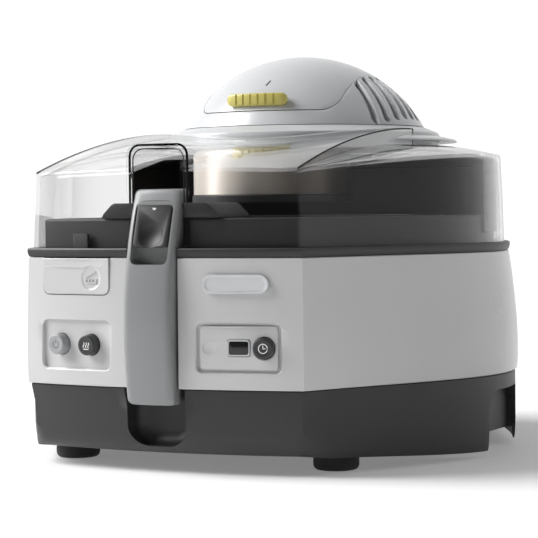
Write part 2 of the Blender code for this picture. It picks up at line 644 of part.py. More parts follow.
def bowl_group():
    liner = bmesh.new()
    turned(liner, [(10.0, WELL_FLOOR - 1.2), (WELL_RADIUS - 14.0, WELL_FLOOR - 1.2),
                   (WELL_RADIUS + 3.2, WELL_FLOOR + 16.0), (WELL_RADIUS + 3.2, COLLAR_TOP - 9.0),
                   (WELL_RADIUS + 2.0, COLLAR_TOP - 9.0), (WELL_RADIUS + 2.0, WELL_FLOOR + 16.5),
                   (WELL_RADIUS - 14.5, WELL_FLOOR), (10.0, WELL_FLOOR)], ROUND)
    make("well_liner", liner, "steel", at(0.0, BOWL_Y, 0.0), smooth=True)

    floor = WELL_FLOOR + 4.0
    bowl = bmesh.new()
    turned(bowl, [(TUBE_RADIUS - 1.5, floor), (BOWL_RADIUS - 16.0, floor),
                  (BOWL_RADIUS - 4.0, floor + 12.0), (BOWL_RADIUS, COLLAR_TOP - 1.0),
                  (BOWL_RADIUS + 1.5, COLLAR_TOP - 1.0), (BOWL_RADIUS + 1.5, COLLAR_TOP + 1.0),
                  (BOWL_RADIUS - 1.4, COLLAR_TOP + 1.0), (BOWL_RADIUS - 5.4, floor + 12.6),
                  (BOWL_RADIUS - 16.6, floor + 1.5), (TUBE_RADIUS, floor + 1.5),
                  (TUBE_RADIUS, floor + 24.0), (TUBE_RADIUS - 1.5, floor + 24.0)], ROUND)
    make("bowl", bowl, "coated_bowl", at(0.0, BOWL_Y, 0.0), smooth=True)

    paddle = bmesh.new()
    turned(paddle, [(0.0, floor + 34.0), (8.0, floor + 34.0), (TUBE_RADIUS + 4.0, floor + 3.0),
                    (TUBE_RADIUS + 1.2, floor + 3.0), (TUBE_RADIUS + 1.2, floor + 25.5),
                    (SPINDLE_RADIUS + GAP, floor + 25.5), (SPINDLE_RADIUS + GAP, floor + 30.0),
                    (0.0, floor + 30.0)], close=False)
    hub = make("stirring_paddle", paddle, "dark_plastic", at(0.0, BOWL_Y, 0.0), smooth=True)
    blades = bmesh.new()
    for turn in (0.0, math.pi):
        rotation = Matrix.Rotation(turn, 4, 'Z')
        arm = bmesh.new()
        prism(arm, [(TUBE_RADIUS + 2.0, floor + 3.0), (BOWL_RADIUS - 24.0, floor + 3.0),
                    (BOWL_RADIUS - 14.0, floor + 14.0), (BOWL_RADIUS - 20.0, floor + 22.0),
                    (TUBE_RADIUS + 2.0, floor + 14.0)], 'Y', -2.0, 2.0)
        bmesh.ops.transform(arm, matrix=rotation, verts=arm.verts)
        join_into(blades, arm)
    combine(hub, make("paddle_arms", blades, place=at(0.0, BOWL_Y, 0.0)), 'UNION')

    bracket = bmesh.new()
    low, top = COLLAR_TOP + GAP, PIVOT_Z + 4.4
    outer = CHANNEL_HALF + 24.0
    prism(bracket, [(-outer, low), (outer, low), (outer - 8.0, top), (8.0 - outer, top)], 'Y',
          PIVOT_Y - 6.0, BOWL_Y - BOWL_RADIUS - 1.5 - GAP)
    fork = make("bowl_bracket", bracket, "dark_plastic")
    cuts = bmesh.new()
    inner = HANDLE_WIDTH / 2 + HANDLE_SIDE_ROOM
    block(cuts, -inner, inner, PIVOT_Y - 20.0, PIVOT_Y + 19.0, low - 5.0, top + 5.0)
    combine(fork, make("bracket_slot_cut", cuts))
    front = bmesh.new()
    front_band(front, -2 * outer, 2 * outer, low - 5.0, top + 5.0, -20.0, LID_WALL + 5.8)
    combine(fork, make("bracket_front_cut", front))
    bore = bmesh.new()
    prism(bore, circle(PIN_RADIUS + GAP, 14, (PIVOT_Y, PIVOT_Z)), 'X', -inner - 8.0, inner + 8.0)
    combine(fork, make("bracket_bore_cut", bore))

    pin = bmesh.new()
    prism(pin, circle(PIN_RADIUS, 14), 'X', -inner - 7.5, inner + 7.5)
    make("handle_pin", pin, "steel", at(0.0, PIVOT_Y, PIVOT_Z), smooth=True)


def join_into(target, source):
    """Add the faces of one bmesh to another and free it."""
    copies = {vert: target.verts.new(vert.co) for vert in source.verts}
    for face in source.faces:
        target.faces.new([copies[vert] for vert in face.verts])
    source.free()


def handle_front(z):
    """Y of the bowed front of the handle at a height."""
    middle = HANDLE_TOP - 0.66 * HANDLE_LENGTH
    return FRONT_Y - 9.3 + HANDLE_BOW * ((z - middle) / (0.66 * HANDLE_LENGTH)) ** 2


def handle():
    """Fold-down handle with a window for its thumb slider; its origin is its pivot."""
    bm = bmesh.new()
    rings = []
    half = HANDLE_WIDTH / 2
    steps = 10
    for i in range(steps + 1):
        z = HANDLE_TOP - HANDLE_LENGTH * (1 - i / steps)
        y = handle_front(z)
        trim = 2.5 if i in (0, steps) else 0.0
        ring = rounded(-half + trim, half - trim, y + trim, y + HANDLE_DEPTH - trim, 3.5, 3)
        rings.append([(a, b - PIVOT_Y, z - PIVOT_Z) for a, b in ring])
    loft(bm, rings)
    grip = make("handle", bm, "grey_plastic", at(0.0, PIVOT_Y, PIVOT_Z), smooth=True)

    cuts = bmesh.new()
    top = HANDLE_TOP - WINDOW_BELOW_TOP
    prism(cuts, rounded(-WINDOW_WIDTH / 2, WINDOW_WIDTH / 2, top - WINDOW_HEIGHT, top, 4.0), 'Y',
          FRONT_Y - 30.0, window_floor(top - WINDOW_HEIGHT / 2))
    combine(grip, make("handle_window_cut", cuts))
    bore = bmesh.new()
    prism(bore, circle(PIN_RADIUS + GAP, 14, (PIVOT_Y, PIVOT_Z)), 'X', -half - 5.0, half + 5.0)
    combine(grip, make("handle_bore_cut", bore))

    thumb = bmesh.new()
    reach = WINDOW_WIDTH / 2 - SLIDE_GAP
    z1 = top - SLIDE_GAP
    z0 = z1 - THUMB_HEIGHT
    lean = slider_lean()
    front, back = handle_front((z0 + z1) / 2) + 0.6, window_floor(top - WINDOW_HEIGHT / 2) - GAP
    prism(thumb, [(front - lean * THUMB_HEIGHT / 2, z0), (back, z0), (back, z1),
                  (front + lean * THUMB_HEIGHT / 2, z1)], 'X', -reach, reach)
    slider = make("handle_slider", thumb, "dark_plastic")
    dish = bmesh.new()
    bmesh.ops.create_uvsphere(dish, u_segments=16, v_segments=10, radius=12.0)
    bmesh.ops.translate(dish, vec=(0.0, front - 8.6, z0 + 10.0), verts=dish.verts)
    combine(slider, make("thumb_dish_cut", dish))


def window_floor(z):
    return handle_front(z) + WINDOW_DEPTH


def slider_lean():
    """How fast the handle's front moves back with height at the slider."""
    z = HANDLE_TOP - WINDOW_BELOW_TOP - THUMB_HEIGHT / 2
    return (handle_front(z + 1.0) - handle_front(z - 1.0)) / 2.0


def toothed(bm, radius, teeth, z0, z1, height, turn):
    """A gear blank with slim teeth; turn places its first tooth, as a share of one pitch."""
    points = []
    for i in range(teeth):
        for share, r in ((-0.5, radius - height), (-0.2, radius - height), (-0.13, radius),
                         (0.13, radius), (0.2, radius - height)):
            angle = 2 * math.pi * (i + turn + share) / teeth
            points.append((r * math.cos(angle), r * math.sin(angle)))
    loft(bm, [at_height(points, z0), at_height(points, z1)])


def drive_group():
    """Stirring drive below the well: motor, pinion, gear with its spindle, and a bush."""
    gear = bmesh.new()
    toothed(gear, GEAR_RADIUS, GEAR_TEETH, GEAR_Z, GEAR_Z + 6.0, 3.0, 0.0)
    wheel = make("drive_gear", gear, "dark_plastic", at(0.0, BOWL_Y, 0.0))
    spindle = bmesh.new()
    cylinder(spindle, SPINDLE_RADIUS, FOOT_HEIGHT + 6.0, WELL_FLOOR + 33.0)
    combine(wheel, make("spindle_rod", spindle, place=at(0.0, BOWL_Y, 0.0)), 'UNION')

    bush = bmesh.new()
    turned(bush, [(SPINDLE_RADIUS + GAP, FOOT_HEIGHT + 3.0 + GAP), (9.0, FOOT_HEIGHT + 3.0 + GAP),
                  (9.0, GEAR_Z - 2.0), (SPINDLE_RADIUS + GAP, GEAR_Z - 2.0)])
    make("spindle_bush", bush, "steel", at(0.0, BOWL_Y, 0.0), smooth=True)

    pinion = bmesh.new()
    toothed(pinion, PINION_RADIUS, PINION_TEETH, GEAR_Z - 1.0, GEAR_Z + 7.0, 2.5, 0.5)
    make("motor_pinion", pinion, "steel", at(PINION_X, BOWL_Y, 0.0))
    motor = bmesh.new()
    cylinder(motor, 24.0, FOOT_HEIGHT + 3.0 + GAP, GEAR_Z - 2.0)
    make("drive_motor", motor, "steel", at(PINION_X, BOWL_Y, 0.0), smooth=True)

    ring = bmesh.new()
    tube(ring, 78.0, 3.2, BASE_TOP - 1.5)
    make("lower_heater", ring, "steel", at(0.0, BOWL_Y, 0.0), smooth=True)


def tube(bm, ring_radius, tube_radius, z, count=24, sides=6):
    points = [(ring_radius + x, z + y) for x, y in circle(tube_radius, sides)]
    turned(bm, points, count)


# ---------------------------------------------------------------- lid

def shoulder(x, y):
    """Height of the lid's outer shoulder above a plan point."""
    if side_share(x, y) == 0.0:
        return LID_CORNER_Z + LID_CORNER_DROP * (1 - (x / FRONT_HALF_WIDTH) ** 2)
    rise = min(1.0, max(0.0, (y - CORNER_Y) / (BOWL_Y + 12.0 - CORNER_Y)))
    return LID_CORNER_Z + LID_SIDE_RISE * math.sin(rise * math.pi / 2)


def lid_rings(inset, drop, bottom):
    """Rings of the lid's wall and wings, offset inwards by inset and lowered by drop."""
    edge = outline(7.0 + inset)
    heights = [shoulder(*p) - drop for p in OUTLINE]
    throat = towards(edge, SKIRT_RADIUS - 4.0, DOME_Y)
    top = WING_TOP - drop

    def ring(points, lift):
        return [(x, y, z + lift) for (x, y), z in zip(points, heights)]

    def wing(share):
        points = blend(edge, throat, share)
        return [(x, y, (z - 0.6) + (top - z + 0.6) * math.sin(share * math.pi / 2))
                for (x, y), z in zip(points, heights)]

    return [at_height(outline(3.0 + inset), bottom), ring(outline(5.0 + inset), -3.4),
            ring(outline(5.5 + inset), -1.4), wing(0.0), wing(0.25), wing(0.55), wing(1.0)]


def hood_profile(drop, y_end):
    """Side view of the raised middle of the lid, from the corner to its square end."""
    start, floor, steps = CORNER_Y + 4.0, LID_CORNER_Z - 10.0, 8
    profile = [(y_end, floor), (start, floor)]
    for i in range(steps + 1):
        share = i / steps
        profile.append((start + (y_end - start) * share,
                        LID_CORNER_Z - drop + HOOD_RISE * (1 - (1 - share) ** 1.9)))
    return profile


def lid_cover():
    """Clear lid: wall, wings, raised middle, and the arch that clears the handle."""
    bm = bmesh.new()
    loft(bm, lid_rings(0.0, 0.0, TRIM_TOP + GAP))
    cover = make("lid_cover", bm, "clear_plastic", smooth=True)

    hood = bmesh.new()
    prism(hood, hood_profile(0.0, HOOD_END_Y), 'X', -HOOD_HALF, HOOD_HALF)
    combine(cover, make("hood_outside", hood), 'UNION')
    arch = bmesh.new()
    prism(arch, rounded(-ARCH_HALF, ARCH_HALF, TRIM_TOP + 30.0, ARCH_TOP, 7.0), 'Y',
          FRONT_Y + 4.2, FRONT_Y + 52.0)
    combine(cover, make("arch_outside", arch), 'UNION')

    inside = bmesh.new()
    loft(inside, lid_rings(LID_WALL, LID_WALL, TRIM_TOP - 10.0))
    combine(cover, make("lid_inside_cut", inside))
    hood_in = bmesh.new()
    prism(hood_in, hood_profile(LID_WALL, HOOD_END_Y - LID_WALL), 'X', -HOOD_HALF + LID_WALL,
          HOOD_HALF - LID_WALL)
    combine(cover, make("hood_inside_cut", hood_in))
    arch_in = bmesh.new()
    prism(arch_in, rounded(-CHANNEL_HALF, CHANNEL_HALF, TRIM_TOP - 20.0, ARCH_TOP - LID_WALL, 5.0),
          'Y', FRONT_Y - 20.0, FRONT_Y + 52.0 - LID_WALL)
    combine(cover, make("arch_inside_cut", arch_in))
    throat = bmesh.new()
    cylinder(throat, SKIRT_RADIUS + GAP, TRIM_TOP, DOME_TOP, ROUND)
    combine(cover, make("lid_throat_cut", throat, place=at(0.0, DOME_Y, 0.0)))
    return cover


def dome_z(radius, inset=0.0):
    """Height of the dome's surface at a distance from its axis."""
    sphere = dome_sphere() - inset
    return DOME_TOP - dome_sphere() + math.sqrt(max(0.0, sphere ** 2 - radius ** 2))


def dome_sphere():
    return (DOME_RADIUS ** 2 + DOME_TOP_RISE ** 2) / (2 * DOME_TOP_RISE)


def dome_profile(outer, thickness, steps=7):
    """Closed profile of a spherical shell from the dome's base to its top."""
    outside = [(outer * math.cos(math.pi / 2 * i / steps)) for i in range(steps)] + [0.0]
    inner_edge = outer - thickness
    inside = [(inner_edge * math.cos(math.pi / 2 * i / steps)) for i in range(steps)] + [0.0]
    points = [(r, max(dome_z(r), DOME_BASE)) for r in outside]
    points += [(r, max(dome_z(r, thickness), DOME_BASE)) for r in reversed(inside)]
    return points


def dome_group():
    """Skirt, dome shell with side vents, the insert over its middle, and the power slider."""
    skirt = bmesh.new()
    low = WING_TOP - 2.0
    turned(skirt, [(SKIRT_RADIUS, low), (SKIRT_RADIUS, DOME_BASE - 4.5),
                   (DOME_RADIUS + 1.0, DOME_BASE - GAP), (DOME_RADIUS - 5.0, DOME_BASE - GAP),
                   (DOME_RADIUS - 5.0, DOME_BASE - 3.5), (SKIRT_RADIUS - 3.0, DOME_BASE - 7.0),
                   (SKIRT_RADIUS - 3.0, low)], ROUND)
    ring = make("dome_skirt", skirt, "grey_plastic", at(0.0, DOME_Y, 0.0), smooth=True)
    flange = bmesh.new()
    edge = WING_TOP + 2.6
    turned(flange, [(SKIRT_FLANGE, edge), (SKIRT_FLANGE - 1.0, edge + 1.6),
                    (SKIRT_RADIUS - 2.0, edge + 4.6), (SKIRT_RADIUS - 2.0, edge)], ROUND)
    wings = make("skirt_flange", flange, place=at(0.0, DOME_Y, 0.0), smooth=True)
    clear = bmesh.new()
    reach = HOOD_HALF + GAP
    block(clear, -reach, reach, DOME_Y - 2 * SKIRT_FLANGE, HOOD_END_Y + GAP, edge - 20.0, DOME_TOP)
    core = make("skirt_hood_cut", clear)
    combine(wings, core)
    combine(ring, wings, 'UNION')

    shell = bmesh.new()
    turned(shell, dome_profile(DOME_RADIUS, DOME_WALL), ROUND)
    dome = make("dome_shell", shell, "grey_plastic", at(0.0, DOME_Y, 0.0), smooth=True)
    band = bmesh.new()
    prism(band, rounded(-INSERT_HALF_WIDTH, INSERT_HALF_WIDTH, INSERT_LOW, DOME_TOP + 20.0, 9.0),
          'Y', -2 * DOME_RADIUS, 2 * DOME_RADIUS)
    combine(dome, make("insert_band_cut", band, place=at(0.0, DOME_Y, 0.0)))
    vents = bmesh.new()
    for side in (-1, 1):
        for i in range(VENTS_PER_SIDE):
            y = VENT_PITCH * (i - (VENTS_PER_SIDE - 1) / 2) - 5.0
            vent(vents, (side * 86.0, y - 4.0, DOME_BASE + 7.0),
                 (side * 50.0, y + 12.0, DOME_BASE + 34.0))
    combine(dome, make("dome_vents_cut", vents, place=at(0.0, DOME_Y, 0.0)))

    insert = bmesh.new()
    turned(insert, dome_profile(DOME_RADIUS, DOME_WALL), ROUND)
    cap = make("dome_insert", insert, "grey_plastic", at(0.0, DOME_Y, 0.0), smooth=True)
    keep = bmesh.new()
    half = INSERT_HALF_WIDTH - GAP
    prism(keep, rounded(-half, half, INSERT_LOW + GAP, DOME_TOP + 20.0, 9.0 - GAP), 'Y',
          -2 * DOME_RADIUS, 2 * DOME_RADIUS)
    combine(cap, make("insert_keep", keep, place=at(0.0, DOME_Y, 0.0)), 'INTERSECT')
    slot = bmesh.new()
    travel = math.radians(SLIDER_ANGLE + SLIDER_STEM_ANGLE) + SLIDE_GAP / DOME_RADIUS
    sector(slot, 20.0, 2 * DOME_RADIUS, travel, SLIDER_Z - 2.0 - SLIDE_GAP, SLIDER_Z + 2.0 + SLIDE_GAP)
    combine(cap, make("slider_slot_cut", slot, place=at(0.0, DOME_Y, 0.0)))

    knob = bmesh.new()
    face = dome_radius_at(SLIDER_Z)
    wide = SLIDER_WIDTH / 2 / face
    sector(knob, face + 1.0, face + SLIDER_REACH, wide, SLIDER_Z - SLIDER_HEIGHT / 2,
           SLIDER_Z + SLIDER_HEIGHT / 2)
    slider = make("power_slider", knob, "lime_plastic", at(0.0, DOME_Y, 0.0))
    stem = bmesh.new()
    sector(stem, face - 10.0, face + 3.0, math.radians(SLIDER_STEM_ANGLE), SLIDER_Z - 2.0,
           SLIDER_Z + 2.0)
    combine(slider, make("slider_stem", stem, place=at(0.0, DOME_Y, 0.0)), 'UNION')
    ball = bmesh.new()
    middle, reach = DOME_TOP - dome_sphere(), dome_sphere() + SLIDE_GAP
    angles = [math.radians(a) for a in range(-30, 90, 8)]
    turned(ball, [(0.0, middle - reach)] + [
        (reach * math.cos(a), middle + reach * math.sin(a)) for a in angles] + [
        (0.0, middle + reach)], ROUND, close=False)
    room = make("slider_room_cut", ball, place=at(0.0, DOME_Y, 0.0))
    thin = bmesh.new()
    sector(thin, 10.0, 3 * DOME_RADIUS, math.radians(SLIDER_STEM_ANGLE), SLIDER_Z - 2.0,
           SLIDER_Z + 2.0)
    combine(room, make("slider_stem_keep", thin, place=at(0.0, DOME_Y, 0.0)))
    combine(slider, room)


def dome_radius_at(z):
    """Distance from the dome's axis to its surface at a height."""
    up = z - (DOME_TOP - dome_sphere())
    return math.sqrt(dome_sphere() ** 2 - up ** 2)


def sector(bm, inner, outer, half_angle, z0, z1, steps=6):
    """Part of a flat ring about the Z axis, facing the front."""
    angles = [-math.pi / 2 - half_angle + 2 * half_angle * i / steps for i in range(steps + 1)]
    points = [(outer * math.cos(a), outer * math.sin(a)) for a in angles]
    points += [(inner * math.cos(a), inner * math.sin(a)) for a in reversed(angles)]
    prism(bm, points, 'Z', z0, z1)


def vent(bm, low, high):
    """A slanted slot cutter with round ends, along the line between two points of the dome."""
    low, high = Vector(low), Vector(high)
    outward = Vector((math.copysign(1.0, low.x), 0.0, 0.6)).normalized()
    up = (high - low).normalized()
    across = outward.cross(up).normalized()
    half = VENT_WIDTH / 2
    slot = rounded(0.0, (high - low).length, -half, half, half - 0.1, 3)
    loft(bm, [[tuple(low + up * a + across * b + outward * depth) for a, b in slot]
              for depth in (-14.0, 14.0)])


def heating_group():
    """Plate, fan motor, fan, heater, reflector and guard over the bowl."""
    plate = bmesh.new()
    turned(plate, [(0.0, PLATE_Z), (SKIRT_RADIUS - 4.0, PLATE_Z), (SKIRT_RADIUS - 4.0, PLATE_Z + 1.5),
                   (0.0, PLATE_Z + 1.5)], ROUND, close=False)
    carrier = make("motor_plate", plate, "steel", at(0.0, DOME_Y, 0.0), smooth=True)
    hole = bmesh.new()
    cylinder(hole, 6.0, PLATE_Z - 10.0, PLATE_Z + 10.0)
    combine(carrier, make("plate_shaft_cut", hole, place=at(0.0, BOWL_Y, 0.0)))

    motor = bmesh.new()
    turned(motor, [(0.0, PLATE_Z + 1.5 + GAP), (21.0, PLATE_Z + 1.5 + GAP), (21.0, PLATE_Z + 19.0),
                   (14.0, PLATE_Z + 23.0), (0.0, PLATE_Z + 23.0)], close=False)
    make("fan_motor", motor, "steel", at(0.0, BOWL_Y, 0.0), smooth=True)

    top = PLATE_Z - GAP
    shield = bmesh.new()
    turned(shield, [(6.0, top), (SHIELD_RADIUS - 3.0, top), (SHIELD_RADIUS, top - 3.0),
                    (SHIELD_RADIUS, SHIELD_BOTTOM), (SHIELD_RADIUS - 1.0, SHIELD_BOTTOM),
                    (SHIELD_RADIUS - 1.0, top - 3.6), (SHIELD_RADIUS - 3.6, top - 1.0),
                    (6.0, top - 1.0)], ROUND)
    make("heat_shield", shield, "warm_steel", at(0.0, BOWL_Y, 0.0), smooth=True)

    coil = bmesh.new()
    tube(coil, FAN_RADIUS + 8.5, 2.8, SHIELD_BOTTOM + 12.0)
    make("upper_heater", coil, "steel", at(0.0, BOWL_Y, 0.0), smooth=True)

    fan = bmesh.new()
    turned(fan, [(0.0, SHIELD_BOTTOM + 8.0), (7.0, SHIELD_BOTTOM + 8.0), (7.0, SHIELD_BOTTOM + 18.0),
                 (2.5, SHIELD_BOTTOM + 18.0), (2.5, PLATE_Z + 1.0), (0.0, PLATE_Z + 1.0)],
           close=False)
    rotor = make("fan", fan, "steel", at(0.0, BOWL_Y, 0.0), smooth=True)
    blades = bmesh.new()
    for i in range(6):
        blade = bmesh.new()
        prism(blade, [(5.0, SHIELD_BOTTOM + 9.0), (FAN_RADIUS, SHIELD_BOTTOM + 8.5),
                      (FAN_RADIUS, SHIELD_BOTTOM + 16.0), (5.0, SHIELD_BOTTOM + 17.0)], 'Y', -0.8, 0.8)
        bmesh.ops.transform(blade, matrix=Matrix.Rotation(i * math.pi / 3, 4, 'Z'), verts=blade.verts)
        join_into(blades, blade)
    combine(rotor, make("fan_blades", blades, place=at(0.0, BOWL_Y, 0.0)), 'UNION')

    guard = bmesh.new()
    z1 = SHIELD_BOTTOM - GAP
    turned(guard, [(SHIELD_RADIUS + 1.0, z1 - 6.0), (SHIELD_RADIUS + 1.0, z1),
                   (SHIELD_RADIUS - 5.0, z1), (SHIELD_RADIUS - 5.0, z1 - 6.0)], ROUND)
    ring = make("fan_guard", guard, "dark_plastic", at(0.0, BOWL_Y, 0.0), smooth=True)
    bars = bmesh.new()
    for i in range(4):
        y = -SHIELD_RADIUS * 0.75 + i * SHIELD_RADIUS * 0.5
        reach = math.sqrt((SHIELD_RADIUS - 2.0) ** 2 - (abs(y) + 1.0) ** 2)
        block(bars, -reach, reach, y - 1.0, y + 1.0, z1 - 4.5, z1 - 2.0)
    combine(ring, make("guard_bars", bars, place=at(0.0, BOWL_Y, 0.0)), 'UNION')


def lid_fittings():
    """Hinge arm behind the lid, the dark lining of its back and the hook of its front wall."""
    arm = bmesh.new()
    arc = [math.radians(a) for a in range(-60, 121, 30)]
    profile = [(BACK_Y - 2.6, TRIM_TOP + 8.0)]
    profile += [(HINGE_Y + 6.0 * math.cos(a), HINGE_Z + 6.0 * math.sin(a)) for a in arc]
    profile += [(BACK_Y - 3.4, TRIM_TOP + 24.0)]
    prism(arm, profile, 'X', -36.0 + SLIDE_GAP, 36.0 - SLIDE_GAP)
    hinge = make("lid_hinge_arm", arm, "dark_plastic")
    bore = bmesh.new()
    prism(bore, circle(2.5 + GAP, 14, (HINGE_Y, HINGE_Z)), 'X', -60.0, 60.0)
    combine(hinge, make("arm_bore_cut", bore))

    picks = [i for i, (x, y) in enumerate(OUTLINE) if y > LINING_START]
    outside, inside = outline(8.2), outline(9.4)
    band = bmesh.new()
    prism(band, [outside[i] for i in picks] + [inside[i] for i in reversed(picks)], 'Z',
          HINGE_Z + GAP, LINING_TOP)
    make("rear_lining", band, "dark_plastic")

    hook = bmesh.new()
    front_band(hook, HOOK_X - HOOK_HALF, HOOK_X + HOOK_HALF, BODY_TOP - 12.0, TRIM_TOP + 9.0,
               HOOK_INSET, HOOK_INSET + HOOK_THICKNESS)
    make("latch_hook", hook, "grey_plastic")


# ---------------------------------------------------------------- assembly

def main():
    for obj in list(bpy.data.objects):
        bpy.data.objects.remove(obj)
    base_tray()
    body_shell()
    trim_band()
    inner_collar()
    for name, x, y in (("front_left", -94.0, CORNER_Y + 53.0), ("front_right", 94.0, CORNER_Y + 53.0),
                       ("rear_left", -85.0, BACK_Y - 55.0), ("rear_right", 85.0, BACK_Y - 55.0)):
        foot("foot_" + name, x, y)
        foot_screw("foot_screw_" + name, x, y)
    hinge_brackets()
    mains_inlet()
    control_panel()
    bowl_group()
    handle()
    drive_group()
    lid_cover()
    dome_group()
    heating_group()
    lid_fittings()


main()
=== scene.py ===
"""Looks of a domed hot-air fryer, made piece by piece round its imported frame.

Sizes are in millimetres and become metres when a mesh is made. The front faces -Y.
"""

import math

import bmesh
import bpy
from mathutils import Matrix, Vector


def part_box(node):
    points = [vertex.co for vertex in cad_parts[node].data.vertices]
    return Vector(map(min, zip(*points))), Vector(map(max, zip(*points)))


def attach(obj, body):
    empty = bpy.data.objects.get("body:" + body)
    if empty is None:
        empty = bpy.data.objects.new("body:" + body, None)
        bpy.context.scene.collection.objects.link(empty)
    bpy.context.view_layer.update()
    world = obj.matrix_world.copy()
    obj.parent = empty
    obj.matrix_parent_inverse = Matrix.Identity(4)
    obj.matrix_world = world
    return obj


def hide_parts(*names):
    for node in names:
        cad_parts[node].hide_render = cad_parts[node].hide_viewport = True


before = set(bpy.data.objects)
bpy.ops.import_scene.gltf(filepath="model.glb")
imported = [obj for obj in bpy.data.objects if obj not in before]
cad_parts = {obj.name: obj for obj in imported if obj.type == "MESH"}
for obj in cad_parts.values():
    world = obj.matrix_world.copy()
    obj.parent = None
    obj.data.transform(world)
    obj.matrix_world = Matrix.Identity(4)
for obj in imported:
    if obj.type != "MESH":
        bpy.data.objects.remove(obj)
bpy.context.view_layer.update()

# ---------------------------------------------------------------- studio and camera
# A pale floor that runs out of sight, soft light from the front left, and a long lens a little
# above the worktop, aimed slightly down and to the left of the dome's axis. What mirrors the
# room finds a bright wall behind the appliance and a dim room in front of it.

MM = 0.001
scene = bpy.context.scene
scene.view_settings.view_transform = 'Standard'
scene.cycles.max_bounces = 24
scene.cycles.transmission_bounces = 16
scene.cycles.transparent_max_bounces = 24


def srgb(code, alpha=1.0):
    """A hex colour as linear RGBA."""
    parts = [int(code[i:i + 2], 16) / 255 for i in (0, 2, 4)]
    linear = [c / 12.92 if c <= 0.04045 else ((c + 0.055) / 1.055) ** 2.4 for c in parts]
    return (*linear, alpha)


def add_node(tree, kind, settings=None, **links):
    """Add a shader node; settings are attributes or socket values, links are sockets to join."""
    node = tree.nodes.new(kind)
    for key, value in (settings or {}).items():
        if isinstance(key, int) or key in node.inputs:
            node.inputs[key].default_value = value
        else:
            setattr(node, key, value)
    for key, socket in links.items():
        tree.links.new(socket, node.inputs[key.replace("_", " ")])
    return node


def new_material(name):
    """An empty material with its output; returns the material, its tree and the output."""
    material = bpy.data.materials.new(name)
    material.use_nodes = True
    tree = material.node_tree
    tree.nodes.clear()
    return material, tree, tree.nodes.new("ShaderNodeOutputMaterial")


def paper_white():
    """Seamless studio paper, whose faint fibre only breaks up its tone."""
    material, tree, output = new_material("seamless_paper")
    place = add_node(tree, "ShaderNodeTexCoord")
    fibre = add_node(tree, "ShaderNodeTexNoise", {"Scale": 900.0, "Detail": 4.0},
                     Vector=place.outputs["Object"])
    bump = add_node(tree, "ShaderNodeBump", {"Strength": 0.05, "Distance": 0.0002},
                    Height=fibre.outputs["Fac"])
    shader = add_node(tree, "ShaderNodeBsdfPrincipled",
                      {"Base Color": srgb("F6F6F6"), "Roughness": 0.7,
                       "Emission Color": srgb("FFFFFF"), "Emission Strength": 0.2},
                      Normal=bump.outputs["Normal"])
    tree.links.new(shader.outputs[0], output.inputs["Surface"])
    return material


paper = bpy.data.meshes.new("paper")
span = 6.0
paper.from_pydata([(-span, -span, -0.0002), (span, -span, -0.0002), (span, span, -0.0002),
                   (-span, span, -0.0002)], [], [(0, 1, 2, 3)])
floor = bpy.data.objects.new("floor", paper)
floor.data.materials.append(paper_white())
scene.collection.objects.link(floor)

world = bpy.data.worlds.new("studio")
scene.world = world
world.use_nodes = True
studio = world.node_tree
studio.nodes.clear()
seen = add_node(studio, "ShaderNodeLightPath")
room = add_node(studio, "ShaderNodeBackground", {"Color": srgb("FFFFFF"), "Strength": 0.12})
backdrop = add_node(studio, "ShaderNodeBackground", {"Color": srgb("FFFFFF"), "Strength": 1.05})
direction = add_node(studio, "ShaderNodeTexCoord")
heading = add_node(studio, "ShaderNodeSeparateXYZ", Vector=direction.outputs["Generated"])
towards_back = add_node(studio, "ShaderNodeMapRange",
                        {"From Min": -0.2, "From Max": 0.7, "To Min": 0.1, "To Max": 0.95},
                        Value=heading.outputs["Y"])
back_wall = add_node(studio, "ShaderNodeBackground", {"Color": srgb("FFFFFF")},
                     Strength=towards_back.outputs["Result"])
mirrored = add_node(studio, "ShaderNodeMixShader", Fac=seen.outputs["Is Glossy Ray"])
studio.links.new(room.outputs[0], mirrored.inputs[1])
studio.links.new(back_wall.outputs[0], mirrored.inputs[2])
either = add_node(studio, "ShaderNodeMixShader", Fac=seen.outputs["Is Camera Ray"])
studio.links.new(mirrored.outputs[0], either.inputs[1])
studio.links.new(backdrop.outputs[0], either.inputs[2])
studio.links.new(either.outputs[0], add_node(studio, "ShaderNodeOutputWorld").inputs["Surface"])


def lamp(name, kind, place, power, **shape_of):
    """A studio light at a place, aimed at the middle of the appliance."""
    data = bpy.data.lights.new(name, kind)
    data.energy = power
    for key, value in shape_of.items():
        setattr(data, key, value)
    obj = bpy.data.objects.new(name, data)
    obj.location = place
    aim_at = Vector((0.0, 0.0, 0.13)) - Vector(place)
    obj.rotation_euler = aim_at.to_track_quat('-Z', 'Y').to_euler()
    scene.collection.objects.link(obj)
    return obj


lamp("key", 'SUN', (-2.3, -0.75, 2.0), 3.9, angle=math.radians(40))
lamp("strip_left", 'AREA', (-1.5, -0.6, 0.5), 5.0, shape='RECTANGLE', size=0.5, size_y=1.2)
rim_light = lamp("rim_right", 'AREA', (1.7, 1.1, 0.7), 6.0, shape='RECTANGLE', size=0.6, size_y=1.2)
rim_light.visible_glossy = False

